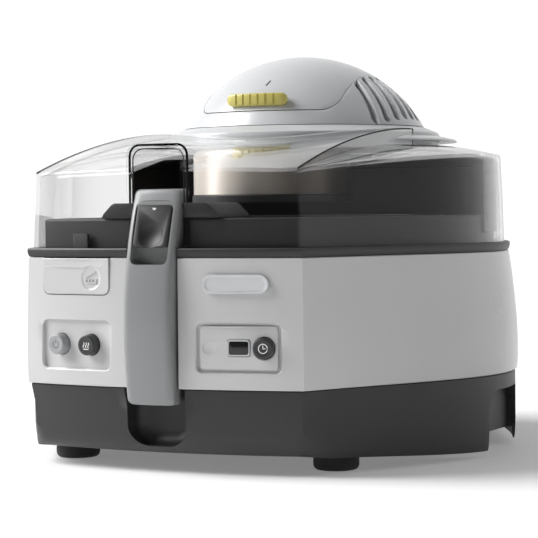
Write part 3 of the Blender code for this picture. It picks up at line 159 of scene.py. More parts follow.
dome_axis_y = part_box("dome_shell")[0].y / MM + 84.6
turn = math.radians(25.14)
distance, height, focus = 1490.0, 164.0, 2096.0
frame_side = 538.0
axis_offset = (-36.6, -61.5)   # from the level axis to the middle of the picture, in focus units
lens_up = Vector((0.0, 0.0, 1.0))
forward = Vector((-math.sin(turn), math.cos(turn), 0.0))
right = Vector((math.cos(turn), math.sin(turn), 0.0))
aim = (forward * focus + right * axis_offset[0] + lens_up * axis_offset[1]).normalized()
side = aim.cross(lens_up).normalized()
roll = math.radians(-0.57)
camera_data = bpy.data.cameras.new("camera")
camera_data.sensor_width = 36.0
camera_data.lens = 36.0 * focus / frame_side
camera_data.clip_end = 30.0
camera = bpy.data.objects.new("camera", camera_data)
scene.collection.objects.link(camera)
axes = Matrix((side, side.cross(aim), -aim)).transposed().to_4x4()
spot = Vector((math.sin(turn) * distance, dome_axis_y - math.cos(turn) * distance, height)) * MM
camera.matrix_world = Matrix.Translation(spot) @ axes @ Matrix.Rotation(roll, 4, 'Z')
scene.camera = camera

# ---------------------------------------------------------------- base tray
# The dark tray that carries everything: one moulding of charcoal ABS with a fine spark-eroded
# grain. Its skirts hang lower at the sides, over a grip pocket each, and a scoop under the
# handle makes room for fingers.

GAP = 0.3             # between pieces that touch
SLIDE_GAP = 0.5       # round a piece that slides or turns
WALL = 3.5            # body and base shells
BOWL_RADIUS = 116.0
BOWL_Y = -17.3        # bowl and fan axis
SIDE_ROOM = 42.6      # bowl wall to the side of the body
FRONT_ROOM = 54.2     # bowl wall to the front of the body
BACK_ROOM = 87.0      # bowl wall to the back of the body
FRONT_HALF_WIDTH = 96.8
FRONT_SAGITTA = 11.9  # how far the front panel bows out between its corners
CORNER_FLARE = 23.0   # degrees that the sides open from straight back at the front corners
SIDE_BULGE = 4.5      # how much wider the body is below the trim than at it
BACK_HALF_WIDTH = 72.0
FOOT_HEIGHT = 12.0
SIDE_SKIRT_DROP = 8.0  # how far the base hangs below its floor at the sides
BASE_HEIGHT = 41.0
HANDLE_WIDTH = 33.2
HANDLE_GAP = 1.1
BASE_TOP = FOOT_HEIGHT + BASE_HEIGHT
HALF_WIDTH = BOWL_RADIUS + SIDE_ROOM
FRONT_Y = BOWL_Y - BOWL_RADIUS - FRONT_ROOM
BACK_Y = BOWL_Y + BOWL_RADIUS + BACK_ROOM
FRONT_CURVE = (FRONT_HALF_WIDTH ** 2 + FRONT_SAGITTA ** 2) / (2 * FRONT_SAGITTA)
CORNER_Y = FRONT_Y + FRONT_SAGITTA
CHANNEL_HALF = HANDLE_WIDTH / 2 + HANDLE_GAP


def loft(bm, rings, close=False, cap=True):
    """Skin rings with equal numbers of points; close joins the last ring to the first."""
    loops = [[bm.verts.new(point) for point in ring] for ring in rings]
    count = len(loops[0])
    following = loops[1:] + (loops[:1] if close else [])
    for lower, upper in zip(loops, following):
        for i in range(count):
            j = (i + 1) % count
            bm.faces.new((lower[i], lower[j], upper[j], upper[i]))
    if cap and not close:
        bm.faces.new(list(reversed(loops[0])))
        bm.faces.new(loops[-1])


def at_height(points, z):
    """Lift plan points to a height, which may be a number or a function of the plan point."""
    return [(x, y, z(x, y) if callable(z) else z) for x, y in points]


def circle(radius, count, centre=(0.0, 0.0)):
    steps = [2 * math.pi * i / count for i in range(count)]
    return [(centre[0] + radius * math.cos(a), centre[1] + radius * math.sin(a)) for a in steps]


def rounded(x0, x1, y0, y1, radius, steps=4):
    """A rectangle with round corners, counter-clockwise."""
    centres = ((x1 - radius, y0 + radius, -90), (x1 - radius, y1 - radius, 0),
               (x0 + radius, y1 - radius, 90), (x0 + radius, y0 + radius, 180))
    points = []
    for cx, cy, start in centres:
        for i in range(steps + 1):
            angle = math.radians(start + 90 * i / steps)
            points.append((cx + radius * math.cos(angle), cy + radius * math.sin(angle)))
    return points


def bezier(start, start_handle, end_handle, end, steps):
    """Points along a curve between two ends, without the first."""
    points = []
    for i in range(1, steps + 1):
        t = i / steps
        weights = ((1 - t) ** 3, 3 * t * (1 - t) ** 2, 3 * t ** 2 * (1 - t), t ** 3)
        corners = (start, start_handle, end_handle, end)
        points.append(tuple(sum(w * c[k] for w, c in zip(weights, corners)) for k in (0, 1)))
    return points


def front_y(x, inset=0.0):
    """The bowed front panel's Y at a given X."""
    radius = FRONT_CURVE - inset
    return FRONT_Y + FRONT_CURVE - math.sqrt(radius ** 2 - x ** 2)


def front_turn(x):
    return math.asin(x / FRONT_CURVE)


def on_front(x, z):
    """A frame on the front panel: X along it, Y into the body and Z up."""
    return at(x, front_y(x), z, front_turn(x))


def at(x, y, z, turn=0.0):
    """A place in millimetres, turned about Z by an angle in radians."""
    return Matrix.Translation((x, y, z)) @ Matrix.Rotation(turn, 4, 'Z')


def side_share(x, y):
    """0 along the front panel, rising to 1 at the widest part of the sides and behind it."""
    if y > BOWL_Y:
        return 1.0
    share = (abs(x) - FRONT_HALF_WIDTH) / (HALF_WIDTH - FRONT_HALF_WIDTH)
    return min(1.0, max(0.0, share))


def outline(inset, bulge=0.0):
    """The body outline moved inwards by inset, with its sides moved out by bulge."""
    count = len(OUTLINE)
    moved = []
    for i, point in enumerate(OUTLINE):
        here = Vector(point)
        before = (here - Vector(OUTLINE[i - 1])).normalized()
        after = (Vector(OUTLINE[(i + 1) % count]) - here).normalized()
        normals = [Vector((d.y, -d.x)) for d in (before, after)]
        mitre = (normals[0] + normals[1]) / (1 + normals[0].dot(normals[1]))
        shift = inset - bulge * side_share(*point)
        moved.append(tuple(here - mitre * shift))
    return moved


def towards(points, radius, centre_y):
    """Points on a circle about (0, centre_y), each in the direction of a given point."""
    angles = [math.atan2(y - centre_y, x) for x, y in points]
    return [(radius * math.cos(a), centre_y + radius * math.sin(a)) for a in angles]


def blend(first, second, share):
    return [(a[0] + (b[0] - a[0]) * share, a[1] + (b[1] - a[1]) * share)
            for a, b in zip(first, second)]


def prism(bm, points, axis, start, end):
    """Extrude a 2D outline along an axis: X takes (y, z), Y takes (x, z) and Z takes (x, y)."""
    order = {'X': lambda a, b, t: (t, a, b), 'Y': lambda a, b, t: (a, t, b),
             'Z': lambda a, b, t: (a, b, t)}[axis]
    loft(bm, [[order(a, b, t) for a, b in points] for t in (start, end)])


def block(bm, x0, x1, y0, y1, z0, z1):
    prism(bm, [(x0, y0), (x1, y0), (x1, y1), (x0, y1)], 'Z', z0, z1)


def base_outline():
    """The body seen from above, counter-clockwise from the middle of the front."""
    steps = 14
    right = [(FRONT_HALF_WIDTH * i / steps, front_y(FRONT_HALF_WIDTH * i / steps))
             for i in range(steps + 1)]
    flare = math.radians(CORNER_FLARE)
    widest = (HALF_WIDTH, BOWL_Y + 12.0)
    reach = 0.5 * (widest[1] - CORNER_Y)
    leave = (FRONT_HALF_WIDTH + reach * math.sin(flare), CORNER_Y + reach * math.cos(flare))
    right += bezier(right[-1], leave, (widest[0], widest[1] - 0.6 * reach), widest, 22)
    back_corner = (BACK_HALF_WIDTH + 13.0, BACK_Y - 12.0)
    run = back_corner[1] - widest[1]
    right += bezier(widest, (widest[0], widest[1] + 0.32 * run),
                    (back_corner[0] + 0.14 * run, back_corner[1] - 0.28 * run), back_corner, 20)
    right += bezier(back_corner, (back_corner[0] - 4.0, back_corner[1] + 8.0),
                    (BACK_HALF_WIDTH, BACK_Y), (BACK_HALF_WIDTH - 8.0, BACK_Y), 10)
    right += [(x, BACK_Y) for x in (42.0, 21.0, 0.0)]
    return right + [(-x, y) for x, y in reversed(right[1:-1])]


OUTLINE = base_outline()


def moulded(name, code, roughness, grain, depth, mottle=0.03, coat=0.0):
    """Moulded plastic: grain is the texture's size in millimetres and depth its height."""
    material, tree, output = new_material(name)
    place = add_node(tree, "ShaderNodeTexCoord")
    texture = add_node(tree, "ShaderNodeTexNoise", {"Scale": 1.0 / (grain * MM), "Detail": 3.0},
                       Vector=place.outputs["Object"])
    bump = add_node(tree, "ShaderNodeBump", {"Strength": 1.0, "Distance": depth * MM},
                    Height=texture.outputs["Fac"])
    cloud = add_node(tree, "ShaderNodeTexNoise", {"Scale": 14.0, "Detail": 4.0},
                     Vector=place.outputs["Object"])
    tone = add_node(tree, "ShaderNodeValToRGB", Fac=cloud.outputs["Fac"])
    base = srgb(code)
    tone.color_ramp.elements[0].position = 0.3
    tone.color_ramp.elements[1].position = 0.7
    tone.color_ramp.elements[0].color = [c * (1.0 - mottle) for c in base[:3]] + [1.0]
    tone.color_ramp.elements[1].color = [min(1.0, c * (1.0 + mottle)) for c in base[:3]] + [1.0]
    gloss = add_node(tree, "ShaderNodeMapRange", {"To Min": roughness * 0.92, "To Max": roughness * 1.1},
                     Value=cloud.outputs["Fac"])
    shader = add_node(tree, "ShaderNodeBsdfPrincipled",
                      {"IOR": 1.53, "Coat Weight": coat, "Coat Roughness": 0.08},
                      Base_Color=tone.outputs["Color"], Roughness=gloss.outputs["Result"],
                      Normal=bump.outputs["Normal"])
    tree.links.new(shader.outputs[0], output.inputs["Surface"])
    return material


def shape(name, bm, place=None):
    """A closed bmesh in millimetres as an object in metres, with its place in its mesh."""
    bmesh.ops.remove_doubles(bm, verts=bm.verts, dist=1e-5)
    if place is not None:
        bmesh.ops.transform(bm, matrix=place, verts=bm.verts)
    bmesh.ops.recalc_face_normals(bm, faces=bm.faces)
    bmesh.ops.scale(bm, vec=(MM, MM, MM), verts=bm.verts)
    mesh = bpy.data.meshes.new(name)
    bm.to_mesh(mesh)
    bm.free()
    obj = bpy.data.objects.new(name, mesh)
    scene.collection.objects.link(obj)
    return obj


def carve(obj, tools, operation='DIFFERENCE'):
    """Cut, join or intersect with other shapes, which are used up."""
    for tool in tools:
        change = obj.modifiers.new("carve", 'BOOLEAN')
        change.object, change.operation, change.solver = tool, operation, 'EXACT'
        settle(obj)
        bpy.data.objects.remove(tool)
    return obj


def settle(obj):
    """Turn an object's modifiers into its plain mesh."""
    bpy.context.view_layer.update()
    result = bpy.data.meshes.new_from_object(obj.evaluated_get(bpy.context.evaluated_depsgraph_get()))
    obj.modifiers.clear()
    obj.data = result
    return obj


def fit(obj, material, body, replaced=(), bevel=0.0, segments=2, angle=38):
    """Round a shape's edges, shade it, give it its material and put it on its body."""
    obj.data.materials.clear()
    obj.data.materials.append(material)
    if bevel:
        edge = obj.modifiers.new("edge", 'BEVEL')
        edge.width, edge.segments, edge.limit_method = bevel * MM, segments, 'ANGLE'
        edge.angle_limit = math.radians(angle)
        edge.harden_normals = False
        settle(obj)
    obj.data.shade_smooth()
    obj.data.set_sharp_from_angle(angle=math.radians(angle))
    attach(obj, body)
    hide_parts(*replaced)
    return obj


charcoal = moulded("charcoal_grained_abs", "262627", 0.46, 0.45, 0.02, 0.06)


def skirt_depth(x, y):
    return FOOT_HEIGHT - SIDE_SKIRT_DROP * side_share(x, y)


def tuck(depth):
    """Rings of the tray's lower edge, tucked in further under the front than at the sides."""
    shares = [min(1.0, 9 * side_share(*p)) for p in OUTLINE]
    shares = [s * s * (3 - 2 * s) for s in shares]
    return [tuple(Vector(a).lerp(Vector(b), share)) for a, b, share in
            zip(outline(depth, SIDE_BULGE), outline(0.2 + depth / 9, SIDE_BULGE), shares)]


def side_solid(side, y0, y1, z0, z1, outer, inner):
    """A solid between two insets of one side of the tray."""
    picks = [i for i, (x, y) in enumerate(OUTLINE) if side * x > 0 and y0 < y < y1]
    outside, inside = outline(outer, SIDE_BULGE), outline(inner, SIDE_BULGE)
    bm = bmesh.new()
    prism(bm, [outside[i] for i in picks] + [inside[i] for i in reversed(picks)], 'Z', z0, z1)
    return shape("pocket_back", bm)


def tray():
    bm = bmesh.new()
    loft(bm, [
        at_height(tuck(26.0), FOOT_HEIGHT),
        at_height(tuck(22.0), lambda x, y: skirt_depth(x, y) + 0.6),
        at_height(tuck(17.0), lambda x, y: skirt_depth(x, y) + 0.1),
        at_height(tuck(14.0), skirt_depth),
        at_height(tuck(11.0), lambda x, y: skirt_depth(x, y) + 1.0),
        at_height(tuck(8.0), lambda x, y: skirt_depth(x, y) + 3.2),
        at_height(tuck(6.0), lambda x, y: skirt_depth(x, y) + 6.2),
        at_height(tuck(4.4), lambda x, y: skirt_depth(x, y) + 10.0),
        at_height(tuck(3.2), lambda x, y: skirt_depth(x, y) + 15.0),
        at_height(tuck(2.7), BASE_TOP - 12.0),
        at_height(outline(0.6, SIDE_BULGE), BASE_TOP - 0.6),
        at_height(outline(1.2, SIDE_BULGE), BASE_TOP),
        at_height(outline(2.5 + WALL, SIDE_BULGE), BASE_TOP),
        at_height(outline(4.5 + WALL, SIDE_BULGE), FOOT_HEIGHT + 16.0),
        at_height(outline(18.0, SIDE_BULGE), FOOT_HEIGHT + 3.0),
    ])
    obj = shape("base_tray_shell", bm)
    scoop_half, scoop_depth = CHANNEL_HALF + 2.3, 17.0
    back = bmesh.new()
    behind = FRONT_Y + scoop_depth + WALL
    prism(back, [(FRONT_Y + 7.0, BASE_TOP - 0.5), (FRONT_Y + 7.0, FOOT_HEIGHT + 9.0),
                 (FRONT_Y + 14.0, FOOT_HEIGHT + 1.5), (behind, FOOT_HEIGHT + 1.5), (behind, BASE_TOP - 0.5)],
          'X', -scoop_half - WALL, scoop_half + WALL)
    sides = [side_solid(side, BOWL_Y - 30.0, BOWL_Y + 90.0, FOOT_HEIGHT + 1.5, BASE_TOP - 3.0,
                        2.5 + WALL / 2, 20.0) for side in (-1, 1)]
    carve(obj, [shape("scoop_back", back)] + sides, 'UNION')
    scoop = bmesh.new()
    flares = [(-12.0, 7.0), (-1.0, 2.6), (2.5, 0.8), (6.0, 0.0)]
    flares += [(scoop_depth - left, -pull) for left, pull in
               ((6.0, 0.5), (3.0, 1.8), (1.2, 4.0), (0.3, 7.0), (0.0, 10.0))]
    loft(scoop, [[(x, FRONT_Y + depth, z) for x, z in
                  rounded(-scoop_half - grow, scoop_half + grow, FOOT_HEIGHT + 4.5 - grow,
                          BASE_TOP + 12.0, 13.0 + grow, 8)] for depth, grow in flares])
    pockets = []
    for side in (-1, 1):
        x0, x1 = sorted((side * (HALF_WIDTH - 13.0), side * (HALF_WIDTH + 30.0)))
        bm = bmesh.new()
        prism(bm, rounded(BOWL_Y - 10.0, BOWL_Y + 68.0, -20.0, BASE_TOP - 10.0, 14.0, 8), 'X', x0, x1)
        pockets.append(shape("pocket", bm))
    return carve(obj, [shape("scoop", scoop)] + pockets)


fit(tray(), charcoal, "body", ["base_tray"], 0.5)

# ---------------------------------------------------------------- feet
# Four soft rubber dishes, each held from below by a pan-head screw with a cross recess.


def turned(bm, profile, count=32, close=True):
    """Turn (radius, z) points about the Z axis; the profile closes on itself or on the axis."""
    rings = []
    for radius, z in profile:
        if radius < 1e-6:
            rings.append([bm.verts.new((0, 0, z))])
        else:
            rings.append([bm.verts.new((x, y, z)) for x, y in circle(radius, count)])
    pairs = list(zip(rings, rings[1:]))
    if close:
        pairs.append((rings[-1], rings[0]))
    for first, second in pairs:
        for i in range(count):
            j = (i + 1) % count
            corners = [first[i % len(first)], first[j % len(first)],
                       second[j % len(second)], second[i % len(second)]]
            unique = list(dict.fromkeys(corners))
            if len(unique) > 2:
                bm.faces.new(unique)


rubber = moulded("nitrile_rubber_matt", "262627", 0.72, 0.6, 0.03, 0.08)


def bright_steel(name, code, roughness, lay, squeeze):
    """Drawn or turned steel: squeeze stretches its fine marks along the axes, in millimetres."""
    material, tree, output = new_material(name)
    place = add_node(tree, "ShaderNodeTexCoord")
    stretch = add_node(tree, "ShaderNodeMapping", Vector=place.outputs["Object"])
    stretch.inputs["Scale"].default_value = [1.0 / (size * MM) for size in squeeze]
    marks = add_node(tree, "ShaderNodeTexNoise", {"Scale": 1.0, "Detail": 5.0},
                     Vector=stretch.outputs["Vector"])
    bump = add_node(tree, "ShaderNodeBump", {"Strength": lay, "Distance": 0.00005},
                    Height=marks.outputs["Fac"])
    gloss = add_node(tree, "ShaderNodeMapRange", {"To Min": roughness * 0.7, "To Max": roughness * 1.35},
                     Value=marks.outputs["Fac"])
    shader = add_node(tree, "ShaderNodeBsdfPrincipled", {"Base Color": srgb(code), "Metallic": 1.0},
                      Roughness=gloss.outputs["Result"], Normal=bump.outputs["Normal"])
    tree.links.new(shader.outputs[0], output.inputs["Surface"])
    return material


zinc = bright_steel("zinc_plated_steel", "C9C7C0", 0.3, 0.4, (0.4, 0.4, 3.0))
for corner in ("front_left", "front_right", "rear_left", "rear_right"):
    low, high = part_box("foot_" + corner)
    x, y = (low.x + high.x) / 2 / MM, (low.y + high.y) / 2 / MM
    bm = bmesh.new()
    turned(bm, [(4.2, 0.0), (11.0, 0.0), (12.6, 0.35), (13.7, 1.2), (14.4, 2.8), (14.5, 5.0),
                (14.2, FOOT_HEIGHT - GAP), (2.5, FOOT_HEIGHT - GAP), (2.5, 4.0), (4.2, 4.0)], 48)
    fit(shape("rubber_foot_" + corner, bm, at(x, y, 0.0)), rubber, "body", ["foot_" + corner])
    screw = bmesh.new()
    turned(screw, [(0.0, 1.4), (2.6, 1.4), (3.2, 1.7), (3.4, 2.3), (3.4, 3.6), (1.8, 3.6),
                   (1.8, FOOT_HEIGHT - 1.0), (0.0, FOOT_HEIGHT - 1.0)], 24, close=False)
    obj = shape("foot_screw_" + corner + "_head", screw, at(x, y, 0.0))
    for wide, deep in ((1.9, 0.45), (0.45, 1.9)):
        cross = bmesh.new()
        block(cross, x - wide, x + wide, y - deep, y + deep, 0.0, 2.4)
        carve(obj, [shape("cross", cross)])
    fit(obj, zinc, "body", ["foot_screw_" + corner])

# ---------------------------------------------------------------- body shell
# The pale housing: one gloss-satin ABS moulding, bowed at the front, with a channel for the
# handle, two shallow control recesses with rolled rims, and a gap for the lid button.

BODY_HEIGHT = 80.6
TRIM_HEIGHT = 5.6
BODY_TOP = BASE_TOP + BODY_HEIGHT
TRIM_TOP = BODY_TOP + GAP + TRIM_HEIGHT
PANEL_X = 57.5
PANEL_WIDTH = 54.0
PANEL_HEIGHT = 30.5
PANEL_DEPTH = 2.2
PANEL_RISE = 26.0      # top of the base to the middle of the panels
BUTTON_RADIUS = 6.5
LID_BUTTON_HEIGHT = 23.0
CHANNEL_FLOOR = FRONT_Y + 14.0
PANEL_Z = BASE_TOP + PANEL_RISE
POWER_X = -70.5
HEATER_X = -46.5
TIMER_X = 73.6
DISPLAY_X = 57.6
DISPLAY_WIDTH = 15.0
DISPLAY_HEIGHT = 10.6
INLET_X = 38.0
INLET_HALF = 9.0
INLET_Z = BASE_TOP + 22.0
PANEL_SKIN = -1.3    # how far the housing's front stands out at the controls' height


def dense(x0, x1, z0, z1, radius, steps=6, along=10):
    """A rounded rectangle with extra points on its long sides, to bend with the front."""
    radius = max(radius, 0.05)
    points = []
    corners = rounded(x0, x1, z0, z1, radius, steps)
    for i, (x, z) in enumerate(corners):
        points.append((x, z))
        nx, nz = corners[(i + 1) % len(corners)]
        if abs(nz - z) < 1e-6 and abs(nx - x) > 4.0:
            points += [(x + (nx - x) * j / along, z) for j in range(1, along)]
    return points


def bent(x, depth, z):
    """A point under the bowed front: x along it, depth into the body."""
    angle = x / FRONT_CURVE
    radius = FRONT_CURVE - PANEL_SKIN - depth
    return (radius * math.sin(angle), FRONT_Y + FRONT_CURVE - radius * math.cos(angle), z)


def front_solid(name, centre, size, radius, levels):
    """A rounded block on the front, as (depth, growth) levels from outside to inside."""
    bm = bmesh.new()
    rings = []
    for depth, grow in levels:
        half, tall = size[0] / 2 + grow, size[1] / 2 + grow
        plan = dense(centre[0] - half, centre[0] + half, centre[1] - tall, centre[1] + tall,
                     min(radius + grow, half, tall))
        rings.append([bent(x, depth, z) for x, z in plan])
    loft(bm, rings)
    return shape(name, bm)


ROLLED_RIM = ((-9.0, 1.0), (-0.05, 1.0), (0.1, 0.55), (0.4, 0.2), (0.9, 0.0))


def recess(name, centre, size, radius, depth):
    return front_solid(name, centre, size, radius,
                       ROLLED_RIM + ((depth - 0.5, 0.0), (depth - 0.12, -0.15), (depth, -0.5)))


def housing():
    bottom = BASE_TOP + GAP
    levels = []
    steps = 16
    for i in range(steps + 1):
        t = i / steps
        swell = 1.5 * math.sin(min(1.0, t / 0.2 * 0.5 + 0.5) * math.pi / 2) if t < 0.2 else \
            1.5 * (1 - ((t - 0.2) / 0.8) ** 1.5)
        bulge = SIDE_BULGE * (1.0 - max(0.0, (t - 0.2) / 0.8) ** 1.7)
        levels.append(at_height(outline(-swell, bulge), bottom + t * (BODY_HEIGHT - GAP)))
    levels[0] = at_height(outline(-0.4, SIDE_BULGE - 0.4), bottom)
    levels.insert(1, at_height(outline(-1.0, SIDE_BULGE - 0.1), bottom + 0.6))
    levels[-1] = at_height(outline(0.0), BODY_TOP - 0.5)
    levels += [at_height(outline(0.5), BODY_TOP), at_height(outline(WALL), BODY_TOP),
               at_height(outline(WALL - 0.4, 0.6 * SIDE_BULGE), bottom + 0.66 * BODY_HEIGHT),
               at_height(outline(WALL - 1.0, SIDE_BULGE - 1.0), bottom)]
    bm = bmesh.new()
    loft(bm, levels, close=True)
    obj = shape("body_housing", bm)
    back = bmesh.new()
    block(back, -CHANNEL_HALF - WALL, CHANNEL_HALF + WALL, FRONT_Y + 2.0, CHANNEL_FLOOR + WALL,
          bottom, BODY_TOP)
    carve(obj, [shape("channel_back", back)], 'UNION')
    channel = bmesh.new()
    mouth = [(-CHANNEL_HALF - 1.6, FRONT_Y - 20.0), (CHANNEL_HALF + 1.6, FRONT_Y - 20.0),
             (CHANNEL_HALF + 1.6, FRONT_Y - 1.6), (CHANNEL_HALF + 0.6, FRONT_Y - 0.9),
             (CHANNEL_HALF, FRONT_Y + 0.4),
             (CHANNEL_HALF, CHANNEL_FLOOR - 2.0), (CHANNEL_HALF - 0.6, CHANNEL_FLOOR - 0.6),
             (CHANNEL_HALF - 2.0, CHANNEL_FLOOR)]
    mouth = mouth[1:] + [(-x, y) for x, y in reversed(mouth[1:])]
    prism(channel, mouth, 'Z', bottom - 5.0, BODY_TOP + 5.0)
    tools = [shape("channel", channel)]
    button_low = BODY_TOP - LID_BUTTON_HEIGHT - SLIDE_GAP
    tools.append(front_solid("button_gap", (-PANEL_X, (button_low + BODY_TOP + 20.0) / 2),
                             (PANEL_WIDTH, BODY_TOP + 20.0 - button_low), 5.0,
                             ((-9.0, 0.6), (-0.1, 0.6), (0.15, 0.3), (0.6, 0.0), (24.0, 0.0))))
    for side in (-1, 1):
        tools.append(recess("recess", (side * PANEL_X, PANEL_Z), (PANEL_WIDTH, PANEL_HEIGHT), 4.0,
                            PANEL_DEPTH))
    for x in (POWER_X, HEATER_X, TIMER_X):
        tools.append(front_solid("hole", (x, PANEL_Z), [2 * BUTTON_RADIUS + 1.0] * 2,
                                 BUTTON_RADIUS + 0.5, ((-9.0, 0.0), (20.0, 0.0))))
    tools.append(front_solid("window", (DISPLAY_X, PANEL_Z),
                             (DISPLAY_WIDTH - 2.0, DISPLAY_HEIGHT - 2.0), 1.0,
                             ((-9.0, 0.0), (20.0, 0.0))))
    inlet = bmesh.new()
    block(inlet, INLET_X - INLET_HALF, INLET_X + INLET_HALF, BACK_Y - 20.0, BACK_Y + 20.0,
          INLET_Z - INLET_HALF, INLET_Z + INLET_HALF)
    return carve(obj, tools + [shape("inlet_hole", inlet)])


white_abs = moulded("white_satin_abs", "CACACA", 0.28, 0.5, 0.004, 0.01, 0.15)
fit(housing(), white_abs, "body", ["body_shell"], angle=30)

# ---------------------------------------------------------------- trim and collar
# A charcoal flange caps the housing, and inside it a collar rises under the lid to hold the
# bowl's rim. Both are the tray's grained ABS, clipped on from above; the collar takes a darker
# copy of it, which paints in the shade under the lid.

COLLAR_HEIGHT = 18.4
COLLAR_TOP = TRIM_TOP + COLLAR_HEIGHT
LID_WALL = 2.4        # clear lid
HOOK_X = -PANEL_X
HOOK_HALF = 6.0
HOOK_INSET = LID_WALL + 4.0
PIVOT_Y = FRONT_Y + 13.0
WELL_RADIUS = BOWL_RADIUS + 4.0


def front_band(bm, x0, x1, z0, z1, outer, inner, steps=6):
    """A solid between two insets of the bowed front, from x0 to x1."""
    xs = [x0 + (x1 - x0) * i / steps for i in range(steps + 1)]
    points = [(x, front_y(x, outer)) for x in xs] + [(x, front_y(x, inner)) for x in reversed(xs)]
    prism(bm, points, 'Z', z0, z1)


def trim():
    low = BODY_TOP + GAP
    bm = bmesh.new()
    loft(bm, [at_height(outline(0.6), low), at_height(outline(-0.1), low + 0.8),
              at_height(outline(-0.7), low + 2.6), at_height(outline(-0.9), TRIM_TOP - 1.4),
              at_height(outline(-0.75), TRIM_TOP - 0.5), at_height(outline(-0.3), TRIM_TOP),
              at_height(outline(8.0), TRIM_TOP), at_height(outline(8.0), low)], close=True)
    gap, hook = bmesh.new(), bmesh.new()
    block(gap, -CHANNEL_HALF, CHANNEL_HALF, FRONT_Y - 20.0, FRONT_Y + 30.0, low - 5.0, TRIM_TOP + 5.0)
    front_band(hook, HOOK_X - HOOK_HALF - 1.0, HOOK_X + HOOK_HALF + 1.0, low - 5.0, TRIM_TOP + 5.0,
               HOOK_INSET - 1.0, HOOK_INSET + 12.0)
    return carve(shape("trim_flange", bm), [shape("gap", gap), shape("hook_hole", hook)])


# A darker copy of the tray's charcoal for parts inside the lid: painted shade.
charcoal_shaded_copy = moulded("charcoal_abs_painted_shade", "222223", 0.5, 0.45, 0.02, 0.06)


def collar():
    outer = outline(10.0)
    well, lip = (towards(outer, r, BOWL_Y) for r in (WELL_RADIUS, WELL_RADIUS + 2.0))
    deck = [blend(outline(11.6), lip, share) for share in (0.33, 0.66)]
    bm = bmesh.new()
    loft(bm, [at_height(outer, BODY_TOP + GAP), at_height(outer, COLLAR_TOP - 1.6),
              at_height(outline(10.2), COLLAR_TOP - 0.7), at_height(outline(10.7), COLLAR_TOP - 0.15),
              at_height(outline(11.6), COLLAR_TOP), at_height(deck[0], COLLAR_TOP - 0.7),
              at_height(deck[1], COLLAR_TOP - 1.4), at_height(lip, COLLAR_TOP - 2.0),
              at_height(well, COLLAR_TOP - 3.0), at_height(well, COLLAR_TOP - 8.0),
              at_height(lip, COLLAR_TOP - 8.0), at_height(outline(13.0), COLLAR_TOP - 4.0),
              at_height(outline(13.0), BODY_TOP + GAP)], close=True)
    slot = bmesh.new()
    block(slot, -CHANNEL_HALF, CHANNEL_HALF, FRONT_Y - 5.0, PIVOT_Y + 19.0,
          TRIM_TOP - 20.0, COLLAR_TOP + 10.0)
    return carve(shape("bowl_collar", bm), [shape("slot", slot)])


fit(trim(), charcoal, "body", ["trim_band"])
fit(collar(), charcoal_shaded_copy, "body", ["inner_collar"])

# ---------------------------------------------------------------- hinge
# Two moulded knuckles stand behind the housing, and the lid's broad arm turns between them on
# one steel pin with a turned finish.

HINGE_OVERHANG = 5.0   # hinge axis behind the body
HINGE_Y = BACK_Y + HINGE_OVERHANG
HINGE_Z = TRIM_TOP + 6.5
KNUCKLE = 6.0


def arc(start, end, radius, steps=12):
    angles = [math.radians(start + (end - start) * i / steps) for i in range(steps + 1)]
    return [(HINGE_Y + radius * math.cos(a), HINGE_Z + radius * math.sin(a)) for a in angles]


def bored(name, profile, x0, x1):
    """A bevelled hinge part with the pin's hole in it."""
    bm, hole = bmesh.new(), bmesh.new()
    prism(bm, profile, 'X', x0, x1)
    prism(hole, circle(2.5 + GAP, 32, (HINGE_Y, HINGE_Z)), 'X', x0 - 9.0, x1 + 9.0)
    return carve(shape(name, bm), [shape("bore", hole)])


for side, hand in ((-1, "left"), (1, "right")):
    x0, x1 = sorted((side * 36.0, side * 48.0))
    foot_y = BACK_Y + 1.0 + GAP
    profile = [(foot_y + 0.45 * SIDE_BULGE, BODY_TOP - 12.0), (HINGE_Y + 4.0, BODY_TOP - 9.0)]
    profile += arc(0, 180, KNUCKLE) + [(HINGE_Y - 6.0, TRIM_TOP + GAP), (foot_y, TRIM_TOP + GAP)]
    fit(bored("hinge_knuckle_" + hand, profile, x0, x1), charcoal, "body",
        ["hinge_bracket_" + hand], 0.7)
arm = [(BACK_Y - 2.6, TRIM_TOP + 8.0)] + arc(-60, 120, KNUCKLE) + [(BACK_Y - 3.4, TRIM_TOP + 24.0)]
fit(bored("lid_arm", arm, -36.0 + SLIDE_GAP, 36.0 - SLIDE_GAP), charcoal, "lid",
    ["lid_hinge_arm"], 0.7)
pin = bmesh.new()
prism(pin, circle(2.5, 32, (HINGE_Y, HINGE_Z)), 'X', -50.0, 50.0)
fit(shape("hinge_rod", pin), zinc, "body", ["hinge_pin"], 0.4)

# ---------------------------------------------------------------- mains inlet
# A black two-pin appliance socket snapped into the back wall; the detachable cord isn't fitted.

black_abs = moulded("black_gloss_abs", "161617", 0.22, 0.5, 0.003, 0.05, 0.2)
bm, cup = bmesh.new(), bmesh.new()
reach = INLET_HALF - SLIDE_GAP
prism(bm, rounded(INLET_X - reach, INLET_X + reach, INLET_Z - reach, INLET_Z + reach, 2.5, 8), 'Y',
      BACK_Y - 14.0, BACK_Y + WALL + 1.0)
prism(cup, rounded(INLET_X - 6.5, INLET_X + 6.5, INLET_Z - 4.5, INLET_Z + 4.5, 3.0, 8), 'Y',
      BACK_Y - 9.0, BACK_Y + 20.0)
socket_body = carve(shape("socket_body", bm), [shape("cup", cup)])
fit(socket_body, black_abs, "body", ["mains_inlet"], 0.4)
for side, hand in ((-1, "left"), (1, "right")):
    bm = bmesh.new()
    prism(bm, circle(1.2, 20, (INLET_X + 3.2 * side, INLET_Z)), 'Y', BACK_Y - 9.2, BACK_Y - 1.0)
    fit(shape("socket_pin_" + hand, bm), zinc, "body", bevel=0.5)

